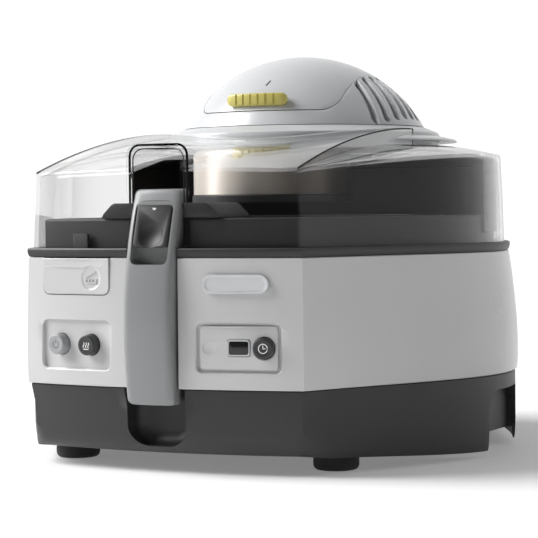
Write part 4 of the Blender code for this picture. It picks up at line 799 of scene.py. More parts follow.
# ---------------------------------------------------------------- controls
# A display with a pale bezel, a timer button, two buttons on the left, the lid button above
# them and a blank raised badge. Caps are gloss ABS; their pictograms are printed in raised ink.

LID_BUTTON_THICKNESS = 3.0
BUTTON_REACH = 4.6     # how far the round buttons stand out


def cap(name, x, material, body, node, slot):
    """A round push button with a soft edge and a faintly dished face."""
    bm = bmesh.new()
    profile = [(0.0, 0.35), (2.4, 0.28), (4.4, 0.1), (BUTTON_RADIUS - 1.1, 0.0),
               (BUTTON_RADIUS - 0.5, 0.12), (BUTTON_RADIUS - 0.12, 0.5), (BUTTON_RADIUS, 1.1),
               (BUTTON_RADIUS, 16.0), (0.0, 16.0)]
    turned(bm, [(r, z - BUTTON_REACH) for r, z in profile], 64, close=False)
    bmesh.ops.rotate(bm, matrix=Matrix.Rotation(math.radians(-90), 3, 'X'), verts=bm.verts)
    fit(shape(name, bm, on_front(x, PANEL_Z)), material, body, [node])


def ink(name, strokes, place, material, body, lift=0.1):
    """A pictogram of flat strokes, each a closed outline, raised a little from its surface."""
    bm = bmesh.new()
    for stroke in strokes:
        prism(bm, stroke, 'Y', -lift, 0.25)
    fit(shape(name, bm, place), material, body)


def stroke(points, width):
    """The outline of a line of constant width with square ends."""
    left, right = [], []
    for i, point in enumerate(points):
        before, after = points[max(0, i - 1)], points[min(len(points) - 1, i + 1)]
        run = Vector((after[0] - before[0], after[1] - before[1])).normalized() * width / 2
        left.append((point[0] - run.y, point[1] + run.x))
        right.append((point[0] + run.y, point[1] - run.x))
    return left + right[::-1]


def curve(radius, start, end, centre=(0.0, 0.0), steps=20):
    angles = [math.radians(start + (end - start) * i / steps) for i in range(steps + 1)]
    return [(centre[0] + radius * math.cos(a), centre[1] + radius * math.sin(a)) for a in angles]


def face(x, depth):
    """A place on a control's own face, depth in millimetres under the front's plane."""
    return on_front(x, PANEL_Z) @ Matrix.Translation((0.0, depth, 0.0))


grey_abs = moulded("silver_grey_gloss_abs", "D2D4D6", 0.26, 0.5, 0.003, 0.012, 0.2)
mid_cap = moulded("mid_grey_gloss_abs", "A0A1A3", 0.3, 0.5, 0.004, 0.02)
dark_cap = moulded("slate_satin_abs", "323335", 0.32, 0.5, 0.004, 0.03)
white_ink = moulded("white_pad_print", "F2F2F0", 0.45, 0.2, 0.002)
slate_ink = moulded("slate_pad_print", "6C6F73", 0.45, 0.2, 0.002)

cap("power_cap", POWER_X, mid_cap, "power_button", "power_button", "grey_plastic")
cap("lower_heater_cap", HEATER_X, dark_cap, "heater_button", "lower_heater_button", "black_plastic")
cap("timer_cap", TIMER_X, dark_cap, "timer_button", "timer_button", "dark_plastic")
power_sign = [stroke(curve(2.4, 130, 410), 0.6), stroke([(0.0, 0.6), (0.0, 3.1)], 0.6)]
heat_sign = [stroke([(x + 0.5 * math.sin(t * 2.2), t) for t in [-1.6 + 0.4 * i for i in range(9)]], 0.5)
             for x in (-1.8, 0.0, 1.8)] + [stroke([(-3.0, -2.5), (3.0, -2.5)], 0.55)]
clock_sign = [stroke(curve(2.8, 0, 350), 0.55), stroke([(0.0, 1.9), (0.0, -0.2)], 0.5),
              stroke([(0.0, 0.0), (1.5, 0.0)], 0.5)]
ink("power_sign", power_sign, face(POWER_X, 0.3 - BUTTON_REACH), slate_ink, "power_button")
ink("heat_sign", heat_sign, face(HEATER_X, 0.3 - BUTTON_REACH), white_ink, "heater_button")
ink("clock_sign", clock_sign, face(TIMER_X, 0.3 - BUTTON_REACH), white_ink, "timer_button")

inner = (PANEL_WIDTH - 4.0, PANEL_HEIGHT - 4.0)
plate = front_solid("control_plate", (PANEL_X, PANEL_Z), inner, 2.4,
                    ((PANEL_DEPTH - 1.5, -0.5), (PANEL_DEPTH - 1.35, -0.15),
                     (PANEL_DEPTH - 1.1, 0.0), (PANEL_DEPTH - 0.2, 0.0)))
cuts = [front_solid("button_hole", (TIMER_X, PANEL_Z), [2 * BUTTON_RADIUS + 1.0] * 2, BUTTON_RADIUS,
                    ((-9.0, 0.5), (PANEL_DEPTH - 1.4, 0.4), (PANEL_DEPTH - 1.1, 0.0), (9.0, 0.0))),
        front_solid("window", (DISPLAY_X, PANEL_Z), (DISPLAY_WIDTH, DISPLAY_HEIGHT), 1.6,
                    ((-9.0, 0.0), (9.0, 0.0))),
        front_solid("thumb_dimple", (PANEL_X - 19.5, PANEL_Z), (8.6, 8.6), 4.2,
                    ((-3.0, 0.6), (PANEL_DEPTH - 1.6, 0.3), (PANEL_DEPTH - 1.2, -0.3),
                     (PANEL_DEPTH - 0.95, -1.2), (PANEL_DEPTH - 0.85, -2.4)))]
fit(carve(plate, cuts), white_abs, "body", ["control_fascia"], angle=30)

lens = front_solid("display_lens", (DISPLAY_X, PANEL_Z), (DISPLAY_WIDTH - 2.6, DISPLAY_HEIGHT - 2.6),
                   1.2, ((PANEL_DEPTH - 1.2, -0.3), (PANEL_DEPTH - 1.0, 0.0), (8.0, 0.0)))
fit(lens, black_abs, "body", ["timer_display"])
bezel = front_solid("display_bezel", (DISPLAY_X, PANEL_Z), (DISPLAY_WIDTH - 0.8, DISPLAY_HEIGHT - 0.8),
                    2.0, ((PANEL_DEPTH - 1.75, -0.3), (PANEL_DEPTH - 1.6, 0.0), (PANEL_DEPTH - 0.2, 0.0)))
opening = front_solid("opening", (DISPLAY_X, PANEL_Z), (DISPLAY_WIDTH - 2.4, DISPLAY_HEIGHT - 2.4), 1.4,
                      ((-9.0, 0.3), (PANEL_DEPTH - 1.5, 0.3), (PANEL_DEPTH - 1.3, 0.0), (9.0, 0.0)))
fit(carve(bezel, [opening]), grey_abs, "body")

badge = front_solid("blank_badge", (56.3, BODY_TOP - 15.8), (42.4, 11.6), 5.7,
                    ((-1.6, -1.0), (-1.75, -0.55), (-1.6, -0.15), (-1.2, 0.0), (0.0, 0.0)))
dish = front_solid("badge_dish", (56.3, BODY_TOP - 15.8), (38.6, 7.8), 3.8,
                   ((-4.0, 0.4), (-1.75, 0.3), (-1.5, 0.0), (-1.2, -0.2)))
fit(carve(badge, [dish]), grey_abs, "body", ["badge_plate"], angle=30)

low, high = BODY_TOP - LID_BUTTON_HEIGHT, BODY_TOP - 0.4
flap = front_solid("lid_button_cap", (-PANEL_X, (low + high) / 2),
                   (PANEL_WIDTH - 2 * SLIDE_GAP, high - low), 4.5,
                   ((0.15, -0.5), (0.3, -0.2), (0.6, 0.0), (LID_BUTTON_THICKNESS + 1.0, 0.0)))
corner_fill = front_solid("flap_top", (-PANEL_X, high - 3.0), (PANEL_WIDTH - 2 * SLIDE_GAP, 6.0), 0.3,
                          ((0.15, -0.3), (0.4, 0.0), (LID_BUTTON_THICKNESS + 1.0, 0.0)))
dimple = front_solid("icon_dimple", (-PANEL_X + 12.5, (low + high) / 2 - 0.8), (15.0, 15.0), 7.4,
                     ((-3.0, 0.7), (0.0, 0.5), (0.45, 0.0), (0.8, -0.9), (0.95, -2.4)))
fit(carve(carve(flap, [corner_fill], 'UNION'), [dimple]), white_abs, "lid_release", ["lid_button"],
    angle=9)
lid_sign = [stroke([(-4.0, -3.0), (4.0, -3.0)], 0.8), stroke([(-4.0, -3.0), (-4.0, -0.8)], 0.8),
            stroke([(4.0, -3.4), (4.0, -0.8)], 0.8),
            stroke([(-4.0, 0.4), (3.6, 3.8)], 0.8), stroke([(-1.2, -0.9), (-1.2, -2.3)], 0.7),
            stroke([(1.2, -0.9), (1.2, -2.3)], 0.7)]
lid_sign_x = -PANEL_X + 12.5
sign_place = at(*bent(lid_sign_x, 0.75, (low + high) / 2 - 0.8), lid_sign_x / FRONT_CURVE)
ink("lid_sign", lid_sign, sign_place, white_abs, "lid_release", 0.4)

# ---------------------------------------------------------------- drive, boards and lower heater
# What sits out of sight under the well: motor, gears, heating ring, board and switch block.
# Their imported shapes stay, and take the finish of plated steel, glass fibre board or nylon.


def dress(nodes, material):
    for node in nodes:
        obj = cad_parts[node]
        obj.data.materials.clear()
        obj.data.materials.append(material)


green_board = moulded("glass_fibre_board", "1D5A38", 0.42, 0.8, 0.01, 0.08)
nylon = moulded("black_nylon", "232425", 0.5, 0.4, 0.006, 0.05)
dress(["drive_motor", "motor_pinion", "spindle_bush", "lower_heater"], zinc)
dress(["drive_gear", "switch_block"], nylon)
dress(["control_board"], green_board)
dress(["latch_catch"], grey_abs)

# ---------------------------------------------------------------- well and bowl
# A pressed steel well, and in it a spun aluminium bowl with a dark ceramic coating, flecked as
# such coatings are. The two-armed paddle is heat-proof nylon and drops over the spindle.

WELL_FLOOR = BASE_TOP + 5.0
SPINDLE_RADIUS = 4.0
TUBE_RADIUS = SPINDLE_RADIUS + 3.0


def coated(name, code, fleck_code):
    """Sprayed ceramic non-stick: a satin dark coat with fine paler flecks."""
    material, tree, output = new_material(name)
    place = add_node(tree, "ShaderNodeTexCoord")
    flecks = add_node(tree, "ShaderNodeTexVoronoi", {"Scale": 1.0 / (1.6 * MM)},
                      Vector=place.outputs["Object"])
    dots = add_node(tree, "ShaderNodeValToRGB", Fac=flecks.outputs["Distance"])
    dots.color_ramp.elements[0].position, dots.color_ramp.elements[1].position = 0.12, 0.2
    dots.color_ramp.elements[0].color, dots.color_ramp.elements[1].color = srgb(fleck_code), srgb(code)
    orange = add_node(tree, "ShaderNodeTexNoise", {"Scale": 1.0 / (1.1 * MM), "Detail": 2.0},
                      Vector=place.outputs["Object"])
    bump = add_node(tree, "ShaderNodeBump", {"Strength": 1.0, "Distance": 0.00003},
                    Height=orange.outputs["Fac"])
    shader = add_node(tree, "ShaderNodeBsdfPrincipled", {"Roughness": 0.36, "IOR": 1.6},
                      Base_Color=dots.outputs["Color"], Normal=bump.outputs["Normal"])
    tree.links.new(shader.outputs[0], output.inputs["Surface"])
    return material


ceramic = coated("ceramic_non_stick_coat", "2A2A2B", "4A4A4B")
rim_z, floor_z = COLLAR_TOP, WELL_FLOOR + 4.0
bm = bmesh.new()
turned(bm, [(10.0, WELL_FLOOR - 1.2), (WELL_RADIUS - 14.0, WELL_FLOOR - 1.2),
            (WELL_RADIUS + 3.2, WELL_FLOOR + 16.0), (WELL_RADIUS + 3.2, rim_z - 9.0),
            (WELL_RADIUS + 2.0, rim_z - 9.0), (WELL_RADIUS + 2.0, WELL_FLOOR + 16.5),
            (WELL_RADIUS - 14.5, WELL_FLOOR), (10.0, WELL_FLOOR)], 96)
drawn = bright_steel("drawn_steel", "A8A7A3", 0.34, 0.3, (0.3, 0.3, 6.0))
fit(shape("steel_well", bm, at(0.0, BOWL_Y, 0.0)), drawn, "body", ["well_liner"])
bm = bmesh.new()
R = BOWL_RADIUS
turned(bm, [(TUBE_RADIUS - 1.5, floor_z), (R - 18.0, floor_z), (R - 12.0, floor_z + 1.6),
            (R - 7.0, floor_z + 5.6), (R - 4.4, floor_z + 11.0), (R - 2.6, floor_z + 40.0),
            (R - 0.4, rim_z - 2.4), (R + 0.2, rim_z - 1.2), (R + 1.2, rim_z - 1.0),
            (R + 1.5, rim_z - 0.4), (R + 1.5, rim_z + 0.5), (R + 1.1, rim_z + 0.95),
            (R - 0.6, rim_z + 1.0), (R - 1.5, rim_z + 0.5), (R - 1.9, rim_z - 1.0),
            (R - 4.2, floor_z + 40.0), (R - 5.9, floor_z + 11.6), (R - 8.2, floor_z + 6.8),
            (R - 12.8, floor_z + 3.1), (R - 18.4, floor_z + 1.5), (TUBE_RADIUS, floor_z + 1.5),
            (TUBE_RADIUS, floor_z + 24.0), (TUBE_RADIUS - 1.5, floor_z + 24.0)], 128)
fit(shape("coated_bowl", bm, at(0.0, BOWL_Y, 0.0)), ceramic, "body", ["bowl"])

hub, arms = bmesh.new(), []
turned(hub, [(0.0, floor_z + 34.0), (4.0, floor_z + 33.9), (6.8, floor_z + 33.0), (8.0, floor_z + 31.0),
             (TUBE_RADIUS + 1.6, floor_z + 20.0), (TUBE_RADIUS + 2.2, floor_z + 10.0),
             (TUBE_RADIUS + 4.0, floor_z + 3.0), (TUBE_RADIUS + 1.2, floor_z + 3.0),
             (TUBE_RADIUS + 1.2, floor_z + 25.5), (SPINDLE_RADIUS + GAP, floor_z + 25.5),
             (SPINDLE_RADIUS + GAP, floor_z + 30.0), (0.0, floor_z + 30.0)], 48, close=False)
for turn_by in (0.0, math.pi):
    arm = bmesh.new()
    prism(arm, [(TUBE_RADIUS + 1.8, floor_z + 3.0), (R - 24.0, floor_z + 3.0), (R - 18.0, floor_z + 7.0),
                (R - 14.0, floor_z + 14.0), (R - 16.0, floor_z + 20.0), (R - 20.0, floor_z + 22.0),
                (R - 26.0, floor_z + 21.0), (TUBE_RADIUS + 14.0, floor_z + 14.5),
                (TUBE_RADIUS + 1.8, floor_z + 15.0)], 'Y', -2.0, 2.0)
    arms.append(shape("arm", arm, Matrix.Rotation(turn_by, 4, 'Z')))
paddle = carve(shape("two_armed_paddle", hub), arms, 'UNION')
paddle.data.transform(Matrix.Translation((0.0, BOWL_Y * MM, 0.0)))
fit(paddle, nylon, "drive", ["stirring_paddle"], 0.5)

# ---------------------------------------------------------------- handle bracket
# A fork riveted to the bowl's rim carries the handle's steel pin. It is the tray's grained ABS
# in a darker copy, which paints in the shade under the lid.

HANDLE_LENGTH = 133.0
HANDLE_DEPTH = 14.0
HANDLE_BOW = 17.5
HANDLE_SIDE_ROOM = 0.6
PIVOT_BELOW_TOP = 13.0
PIN_RADIUS = 2.0
HANDLE_TOP = TRIM_TOP + 36.6
PIVOT_Z = HANDLE_TOP - PIVOT_BELOW_TOP
fork_low, fork_top = COLLAR_TOP + GAP, PIVOT_Z + 4.4
reach = CHANNEL_HALF + 24.0
bm = bmesh.new()
prism(bm, [(-reach, fork_low), (reach, fork_low), (reach - 1.0, fork_low + 2.6),
           (reach - 7.0, fork_top - 1.2), (reach - 9.5, fork_top), (9.5 - reach, fork_top),
           (7.0 - reach, fork_top - 1.2), (1.0 - reach, fork_low + 2.6)], 'Y',
      PIVOT_Y - 6.0, BOWL_Y - BOWL_RADIUS - 1.5 - GAP)
inner_reach = HANDLE_WIDTH / 2 + HANDLE_SIDE_ROOM
slot, front, bore = bmesh.new(), bmesh.new(), bmesh.new()
block(slot, -inner_reach, inner_reach, PIVOT_Y - 20.0, PIVOT_Y + 19.0, fork_low - 5.0, fork_top + 5.0)
front_band(front, -2 * reach, 2 * reach, fork_low - 5.0, fork_top + 5.0, -20.0, LID_WALL + 5.8, 16)
prism(bore, circle(PIN_RADIUS + GAP, 32, (PIVOT_Y, PIVOT_Z)), 'X', -inner_reach - 8.0, inner_reach + 8.0)
fork = carve(shape("bowl_fork", bm), [shape("slot", slot), shape("front", front), shape("bore", bore)])
fit(fork, charcoal_shaded_copy, "body", ["bowl_bracket"], 0.6)
bm = bmesh.new()
prism(bm, circle(PIN_RADIUS, 32, (PIVOT_Y, PIVOT_Z)), 'X', -inner_reach - 7.5, inner_reach + 7.5)
fit(shape("handle_rod", bm), zinc, "body", ["handle_pin"], 0.4)

# ---------------------------------------------------------------- handle and thumb slider
# The bowl's handle is a bowed bar of mid-grey satin ABS with a rolled edge; the window near its
# top holds a dark slider with a thumb dish, over a paler floor.

WINDOW_WIDTH = 26.0
WINDOW_HEIGHT = 39.0
THUMB_HEIGHT = 28.0
WINDOW_BELOW_TOP = 7.5
WINDOW_DEPTH = 6.0


def handle_front(z):
    """Y of the bowed front of the handle at a height."""
    middle = HANDLE_TOP - 0.66 * HANDLE_LENGTH
    return FRONT_Y - 9.3 + HANDLE_BOW * ((z - middle) / (0.66 * HANDLE_LENGTH)) ** 2


def window_floor(z):
    return handle_front(z) + WINDOW_DEPTH


def slider_lean():
    """How fast the handle's front moves back with height at the slider."""
    z = HANDLE_TOP - WINDOW_BELOW_TOP - THUMB_HEIGHT / 2
    return (handle_front(z + 1.0) - handle_front(z - 1.0)) / 2.0


half, steps = HANDLE_WIDTH / 2, 48
rings = []
for i in range(steps + 1):
    z = HANDLE_TOP - HANDLE_LENGTH * (1 + math.cos(math.pi * i / steps)) / 2
    ends = min(z - (HANDLE_TOP - HANDLE_LENGTH), HANDLE_TOP - z)
    round_low = 3.4 if z < HANDLE_TOP - HANDLE_LENGTH / 2 else 3.0
    pull = round_low - math.sqrt(max(0.0, round_low ** 2 - max(0.0, round_low - ends) ** 2))
    y = handle_front(z)
    width = half - pull
    skin = pull * 0.35
    crown = [(width * t, y + skin + 0.9 * (t * t) ** 1.0) for t in [-0.86 + 1.72 * j / 10 for j in range(11)]]
    edge_y = y + skin + 0.9
    right_edge = [(width - 0.9, edge_y + 0.45), (width - 0.3, edge_y + 1.1), (width, edge_y + 2.2),
                  (width, y + HANDLE_DEPTH - 2.6), (width - 0.8, y + HANDLE_DEPTH - 0.8),
                  (width - 2.6, y + HANDLE_DEPTH)]
    rings.append([(a, b, z) for a, b in crown + right_edge + [(-a, b) for a, b in reversed(right_edge)]])
bm = bmesh.new()
loft(bm, rings)
grip = shape("bowl_handle", bm)
window_top = HANDLE_TOP - WINDOW_BELOW_TOP
window_low = window_top - WINDOW_HEIGHT
lean = slider_lean()
mouth_y = handle_front((window_top + window_low) / 2)


def window_ring(grow, depth):
    """A ring of the window's opening, leaning back with the handle's front."""
    plan = rounded(-WINDOW_WIDTH / 2 - grow, WINDOW_WIDTH / 2 + grow, window_low - grow,
                   window_top + grow, 4.0 + grow, 8)
    return [(x, mouth_y + depth + lean * (z - (window_top + window_low) / 2), z) for x, z in plan]


def level_ring(inset, y):
    plan = rounded(-WINDOW_WIDTH / 2 + inset, WINDOW_WIDTH / 2 - inset, window_low + inset,
                   window_top - inset, 4.0 - inset, 8)
    return [(x, y, z) for x, z in plan]


floor_y = window_floor(window_top - WINDOW_HEIGHT / 2)
bm = bmesh.new()
loft(bm, [window_ring(1.1, -8.0), window_ring(1.1, -0.1), window_ring(0.7, 0.25), window_ring(0.1, 0.9),
          window_ring(0.0, 1.6), level_ring(0.0, floor_y - 0.4), level_ring(0.4, floor_y)])
bore = bmesh.new()
prism(bore, circle(PIN_RADIUS + GAP, 32, (PIVOT_Y, PIVOT_Z)), 'X', -half - 5.0, half + 5.0)
carve(grip, [shape("window", bm), shape("bore", bore)])
handle_abs = moulded("mid_grey_satin_abs", "8B8C8D", 0.3, 0.5, 0.004, 0.015, 0.1)
fit(grip, handle_abs, "handle", ["handle"], angle=32)

slider_reach = WINDOW_WIDTH / 2 - SLIDE_GAP
z1 = window_top - SLIDE_GAP
z0 = z1 - THUMB_HEIGHT
front_face = handle_front((z0 + z1) / 2) + 0.6
bm = bmesh.new()
rings = []
for back, grow in ((0.0, -1.0), (0.2, -0.45), (0.75, 0.0), (WINDOW_DEPTH - GAP - 1.2, 0.0)):
    plan = rounded(-slider_reach - grow, slider_reach + grow, z0 - grow, z1 + grow, 3.4 + grow, 8)
    rings.append([(x, front_face + back + lean * (z - (z0 + z1) / 2), z) for x, z in plan])
loft(bm, rings)
keep = bmesh.new()
block(keep, -30.0, 30.0, front_face - 20.0, floor_y - GAP, z0 - 5.0, z1 + 5.0)
thumb = carve(shape("thumb_catch", bm), [shape("keep", keep)], 'INTERSECT')
ball = bmesh.new()
bmesh.ops.create_uvsphere(ball, u_segments=64, v_segments=40, radius=15.0)
bmesh.ops.translate(ball, vec=(0.0, front_face - 12.7 - lean * 3.0, z0 + 11.0), verts=ball.verts)
black_satin = moulded("black_satin_abs", "222224", 0.5, 0.45, 0.006, 0.05)
fit(carve(thumb, [shape("dish", ball)]), black_satin, "thumb_slider", ["handle_slider"])
arrow_z = z1 - 4.6
arrow_y = front_face + lean * (arrow_z - (z0 + z1) / 2)
bm = bmesh.new()
prism(bm, [(-1.5, arrow_z + 1.0), (1.5, arrow_z + 1.0), (0.0, arrow_z - 1.4)], 'Y', arrow_y - 0.12,
      arrow_y + 0.6)
fit(shape("slider_arrow", bm), white_ink, "thumb_slider")

# ---------------------------------------------------------------- clear lid
# One polished polycarbonate moulding: a leaning wall, two swept wings, a raised deck in the
# middle that ends in a square step, and an arch that clears the handle. Its back and the back of
# its wings are lined with charcoal ABS.

LID_FRONT_HEIGHT = 50.5
LID_CORNER_DROP = 2.0
LID_SIDE_RISE = 11.0
HOOD_RISE = 29.0       # lid corner to the end of the raised middle of the lid
DOME_TOP_RISE = 50.4
DOME_Y = 35.2
DOME_RADIUS = 84.6     # where the dome meets its skirt
SKIRT_RADIUS = 95.7
LID_CORNER_Z = TRIM_TOP + LID_FRONT_HEIGHT - LID_CORNER_DROP
HOOD_TOP = LID_CORNER_Z + HOOD_RISE
WING_TOP = HOOD_TOP - 11.0
DOME_BASE = HOOD_TOP + 2.6
DOME_TOP = DOME_BASE + DOME_TOP_RISE
HOOD_END_Y = DOME_Y - 24.0
HOOD_HALF = FRONT_HALF_WIDTH - 3.8
ARCH_HALF = CHANNEL_HALF + LID_WALL
ARCH_TOP = HANDLE_TOP + 27.5
RIM_SETBACK = 9.5      # from the front of the body to the arch's cut edge
RIM_CORNER = 7.0
LINING_START = BOWL_Y + 54.0
LINING_REACH = 44.0    # how much further forward the lining runs on the right
LINING_RINGS = 15      # how many of the lid's rings, from the top, the wing lining follows
LINING_TOP = WING_TOP - 13.0


def polycarbonate(name, flat, slanted, mirror):
    """Clear thin-walled plastic: you see through it under a sharp gloss, and a painted shade darkens it at a
    slant, standing in for the dark that refraction shows there.

    mirror is the share of light that it reflects when it is seen edge-on.
    """
    material, tree, output = new_material(name)
    place = add_node(tree, "ShaderNodeTexCoord")
    flow = add_node(tree, "ShaderNodeTexNoise", {"Scale": 22.0, "Detail": 2.0},
                    Vector=place.outputs["Object"])
    bump = add_node(tree, "ShaderNodeBump", {"Strength": 0.12, "Distance": 0.0006},
                    Height=flow.outputs["Fac"])
    slant = add_node(tree, "ShaderNodeLayerWeight", {"Blend": 0.5}, Normal=bump.outputs["Normal"])
    # Painted shade: the see-through colour darkens from the flat colour to the slanted one where the surface
    # is seen at a slant.
    painted_light_ramp = add_node(tree, "ShaderNodeValToRGB", Fac=slant.outputs["Facing"])
    painted_light_ramp.color_ramp.elements[0].position, painted_light_ramp.color_ramp.elements[1].position = 0.88, 1.0
    painted_light_ramp.color_ramp.elements[0].color = srgb(flat)
    painted_light_ramp.color_ramp.elements[1].color = srgb(slanted)
    through = add_node(tree, "ShaderNodeBsdfTransparent", Color=painted_light_ramp.outputs["Color"])
    gloss = add_node(tree, "ShaderNodeBsdfPrincipled",
                     {"Base Color": srgb("FFFFFF"), "Metallic": 1.0, "Roughness": 0.03},
                     Normal=bump.outputs["Normal"])
    steep = add_node(tree, "ShaderNodeMath", {"operation": 'POWER', 1: 4.4})
    tree.links.new(slant.outputs["Facing"], steep.inputs[0])
    share = add_node(tree, "ShaderNodeMapRange", {"To Min": 0.02, "To Max": mirror},
                     Value=steep.outputs[0])
    mix = add_node(tree, "ShaderNodeMixShader", Fac=share.outputs["Result"])
    tree.links.new(through.outputs[0], mix.inputs[1])
    tree.links.new(gloss.outputs[0], mix.inputs[2])
    tree.links.new(mix.outputs[0], output.inputs["Surface"])
    return material


def shoulder(x, y):
    """Height of the lid's outer shoulder above a plan point."""
    if side_share(x, y) == 0.0:
        return LID_CORNER_Z + LID_CORNER_DROP * (1 - (x / FRONT_HALF_WIDTH) ** 2)
    rise = min(1.0, max(0.0, (y - CORNER_Y) / (BOWL_Y + 12.0 - CORNER_Y)))
    return LID_CORNER_Z + LID_SIDE_RISE * math.sin(rise * math.pi / 2)


def lid_rings(inset, drop, bottom):
    """Rings of the lid's wall and wings, offset inwards by inset and lowered by drop."""
    heights = [shoulder(*p) - drop for p in OUTLINE]
    edge = outline(7.0 + inset)
    throat = towards(edge, SKIRT_RADIUS - 4.0, DOME_Y)
    top = WING_TOP - drop

    def ring(points, lift):
        return [(x, y, z + lift) for (x, y), z in zip(points, heights)]

    def wing(share):
        points = blend(edge, throat, share)
        return [(x, y, (z - 0.6) + (top - z + 0.6) * math.sin(share * math.pi / 2))
                for (x, y), z in zip(points, heights)]

    rings = [at_height(outline(3.0 + inset), bottom)]
    rings += [ring(outline(4.0 + inset), -26.0)] if bottom < 140.5 else []
    rings += [ring(outline(4.9 + inset), -9.0), ring(outline(5.0 + inset), -3.6),
              ring(outline(5.12 + inset), -2.5), ring(outline(5.45 + inset), -1.5),
              ring(outline(6.0 + inset), -0.85)]
    return rings + [wing(s) for s in (0.0, 0.04, 0.1, 0.18, 0.28, 0.4, 0.55, 0.7, 0.85, 1.0)]


def hood_line(drop, y_end, steps):
    """Points (y, z) along the crest of the raised deck."""
    start = CORNER_Y + 4.0
    return [(start + (y_end - start) * i / steps,
             LID_CORNER_Z - drop + HOOD_RISE * (1 - (1 - i / steps) ** 1.9)) for i in range(steps + 1)]


def bead(name, path, radius, across):
    """A round bead along a path; across is a direction that the path never takes."""
    bm = bmesh.new()
    rings = []
    for i, point in enumerate(path):
        ahead = (Vector(path[min(i + 1, len(path) - 1)]) - Vector(path[max(i - 1, 0)])).normalized()
        first = ahead.cross(Vector(across)).normalized()
        second = ahead.cross(first)
        rings.append([tuple(Vector(point) + first * x + second * y) for x, y in circle(radius, 12)])
    loft(bm, rings)
    return shape(name, bm)


def hood(drop, y_end, half, corner):
    """The raised deck as sections across it, each with round upper corners."""
    floor = LID_CORNER_Z - 10.0
    bm = bmesh.new()
    rings = []
    for y, top in hood_line(drop, y_end, 28):
        right = [(half, floor), (half, top - corner)]
        right += [(half - corner + corner * math.cos(a), top - corner + corner * math.sin(a))
                  for a in [math.radians(d) for d in (22.5, 45, 67.5)]] + [(half - corner, top)]
        section = right + [(half * t, top) for t in (0.5, 0.0, -0.5)]
        section += [(-x, z) for x, z in reversed(right)]
        rings.append([(x, y, z) for x, z in section])
    loft(bm, rings)
    return shape("hood", bm)


def arch(half, top, radius, y0, y1):
    bm = bmesh.new()
    prism(bm, rounded(-half, half, TRIM_TOP - 20.0, top, radius, 10), 'Y', y0, y1)
    return shape("arch", bm)


def clear_cover():
    shell, inside = bmesh.new(), bmesh.new()
    loft(shell, lid_rings(0.0, 0.0, TRIM_TOP + GAP))
    loft(inside, lid_rings(LID_WALL, LID_WALL, TRIM_TOP - 10.0))
    obj = shape("clear_lid", shell)
    arch_outside = bmesh.new()
    prism(arch_outside, rounded(-ARCH_HALF, ARCH_HALF, TRIM_TOP + 30.0, ARCH_TOP, 7.0, 10), 'Y',
          FRONT_Y + 4.2, FRONT_Y + 52.0)
    carve(obj, [hood(0.0, HOOD_END_Y, HOOD_HALF, 2.2), shape("arch_outside", arch_outside)], 'UNION')
    throat = bmesh.new()
    turned(throat, [(0.0, TRIM_TOP), (SKIRT_RADIUS + GAP, TRIM_TOP), (SKIRT_RADIUS + GAP, DOME_TOP),
                    (0.0, DOME_TOP)], 96, close=False)
    return carve(obj, [shape("inside", inside),
                       hood(LID_WALL, HOOD_END_Y - LID_WALL, HOOD_HALF - LID_WALL, 1.2),
                       arch(CHANNEL_HALF, ARCH_TOP - LID_WALL, 5.0, FRONT_Y - 20.0,
                            FRONT_Y + 52.0 - LID_WALL),
                       shape("throat", throat, at(0.0, DOME_Y, 0.0))])


clear = polycarbonate("clear_polished_polycarbonate", "FCFCFC", "2A2B2D", 0.8)
# The second clear is darker throughout: painted shade for the lid's edges.
painted_dark_edge = polycarbonate("polycarbonate_painted_dark_edge", "3C3E41", "141516", 0.35)
fit(clear_cover(), clear, "lid", ["lid_cover"], angle=30)

# The moulding's rounded edges look dark, so each is a thin bead of its own, in a darker clear that paints in
# the shade refraction draws along them.
for name, half, top, radius in (("arch_outer_rim", ARCH_HALF + 0.2, ARCH_TOP, 0.75),
                                ("arch_inner_rim", CHANNEL_HALF + 0.3, ARCH_TOP - LID_WALL, 0.4)):
    corner = [(half - RIM_CORNER + RIM_CORNER * math.sin(a), top - RIM_CORNER + RIM_CORNER * math.cos(a))
              for a in [math.radians(15 * i) for i in range(7)]]
    corner.append((half, TRIM_TOP + 1.5))
    path = [(-x, FRONT_Y + RIM_SETBACK, z) for x, z in reversed(corner)]
    path += [(x, FRONT_Y + RIM_SETBACK, z) for x, z in corner]
    fit(bead(name, path, radius, (0.0, 1.0, 0.0)), painted_dark_edge, "lid")
for side_of, sign in (("left", -1), ("right", 1)):
    path = [(sign * (HOOD_HALF - 0.5), y, z - 0.5) for y, z in hood_line(0.0, HOOD_END_Y, 28)]
    path += [(path[-1][0], path[-1][1] - 0.3, WING_TOP - 1.0)]
    fit(bead("deck_ridge_" + side_of, path, 0.55, (1.0, 0.0, 0.0)), painted_dark_edge, "lid")
bm = bmesh.new()
front_band(bm, HOOK_X - HOOK_HALF, HOOK_X + HOOK_HALF, BODY_TOP - 12.0, TRIM_TOP + 9.0, HOOK_INSET,
           HOOK_INSET + 1.8)
fit(shape("lid_hook", bm), charcoal_shaded_copy, "lid", ["latch_hook"], 0.4)


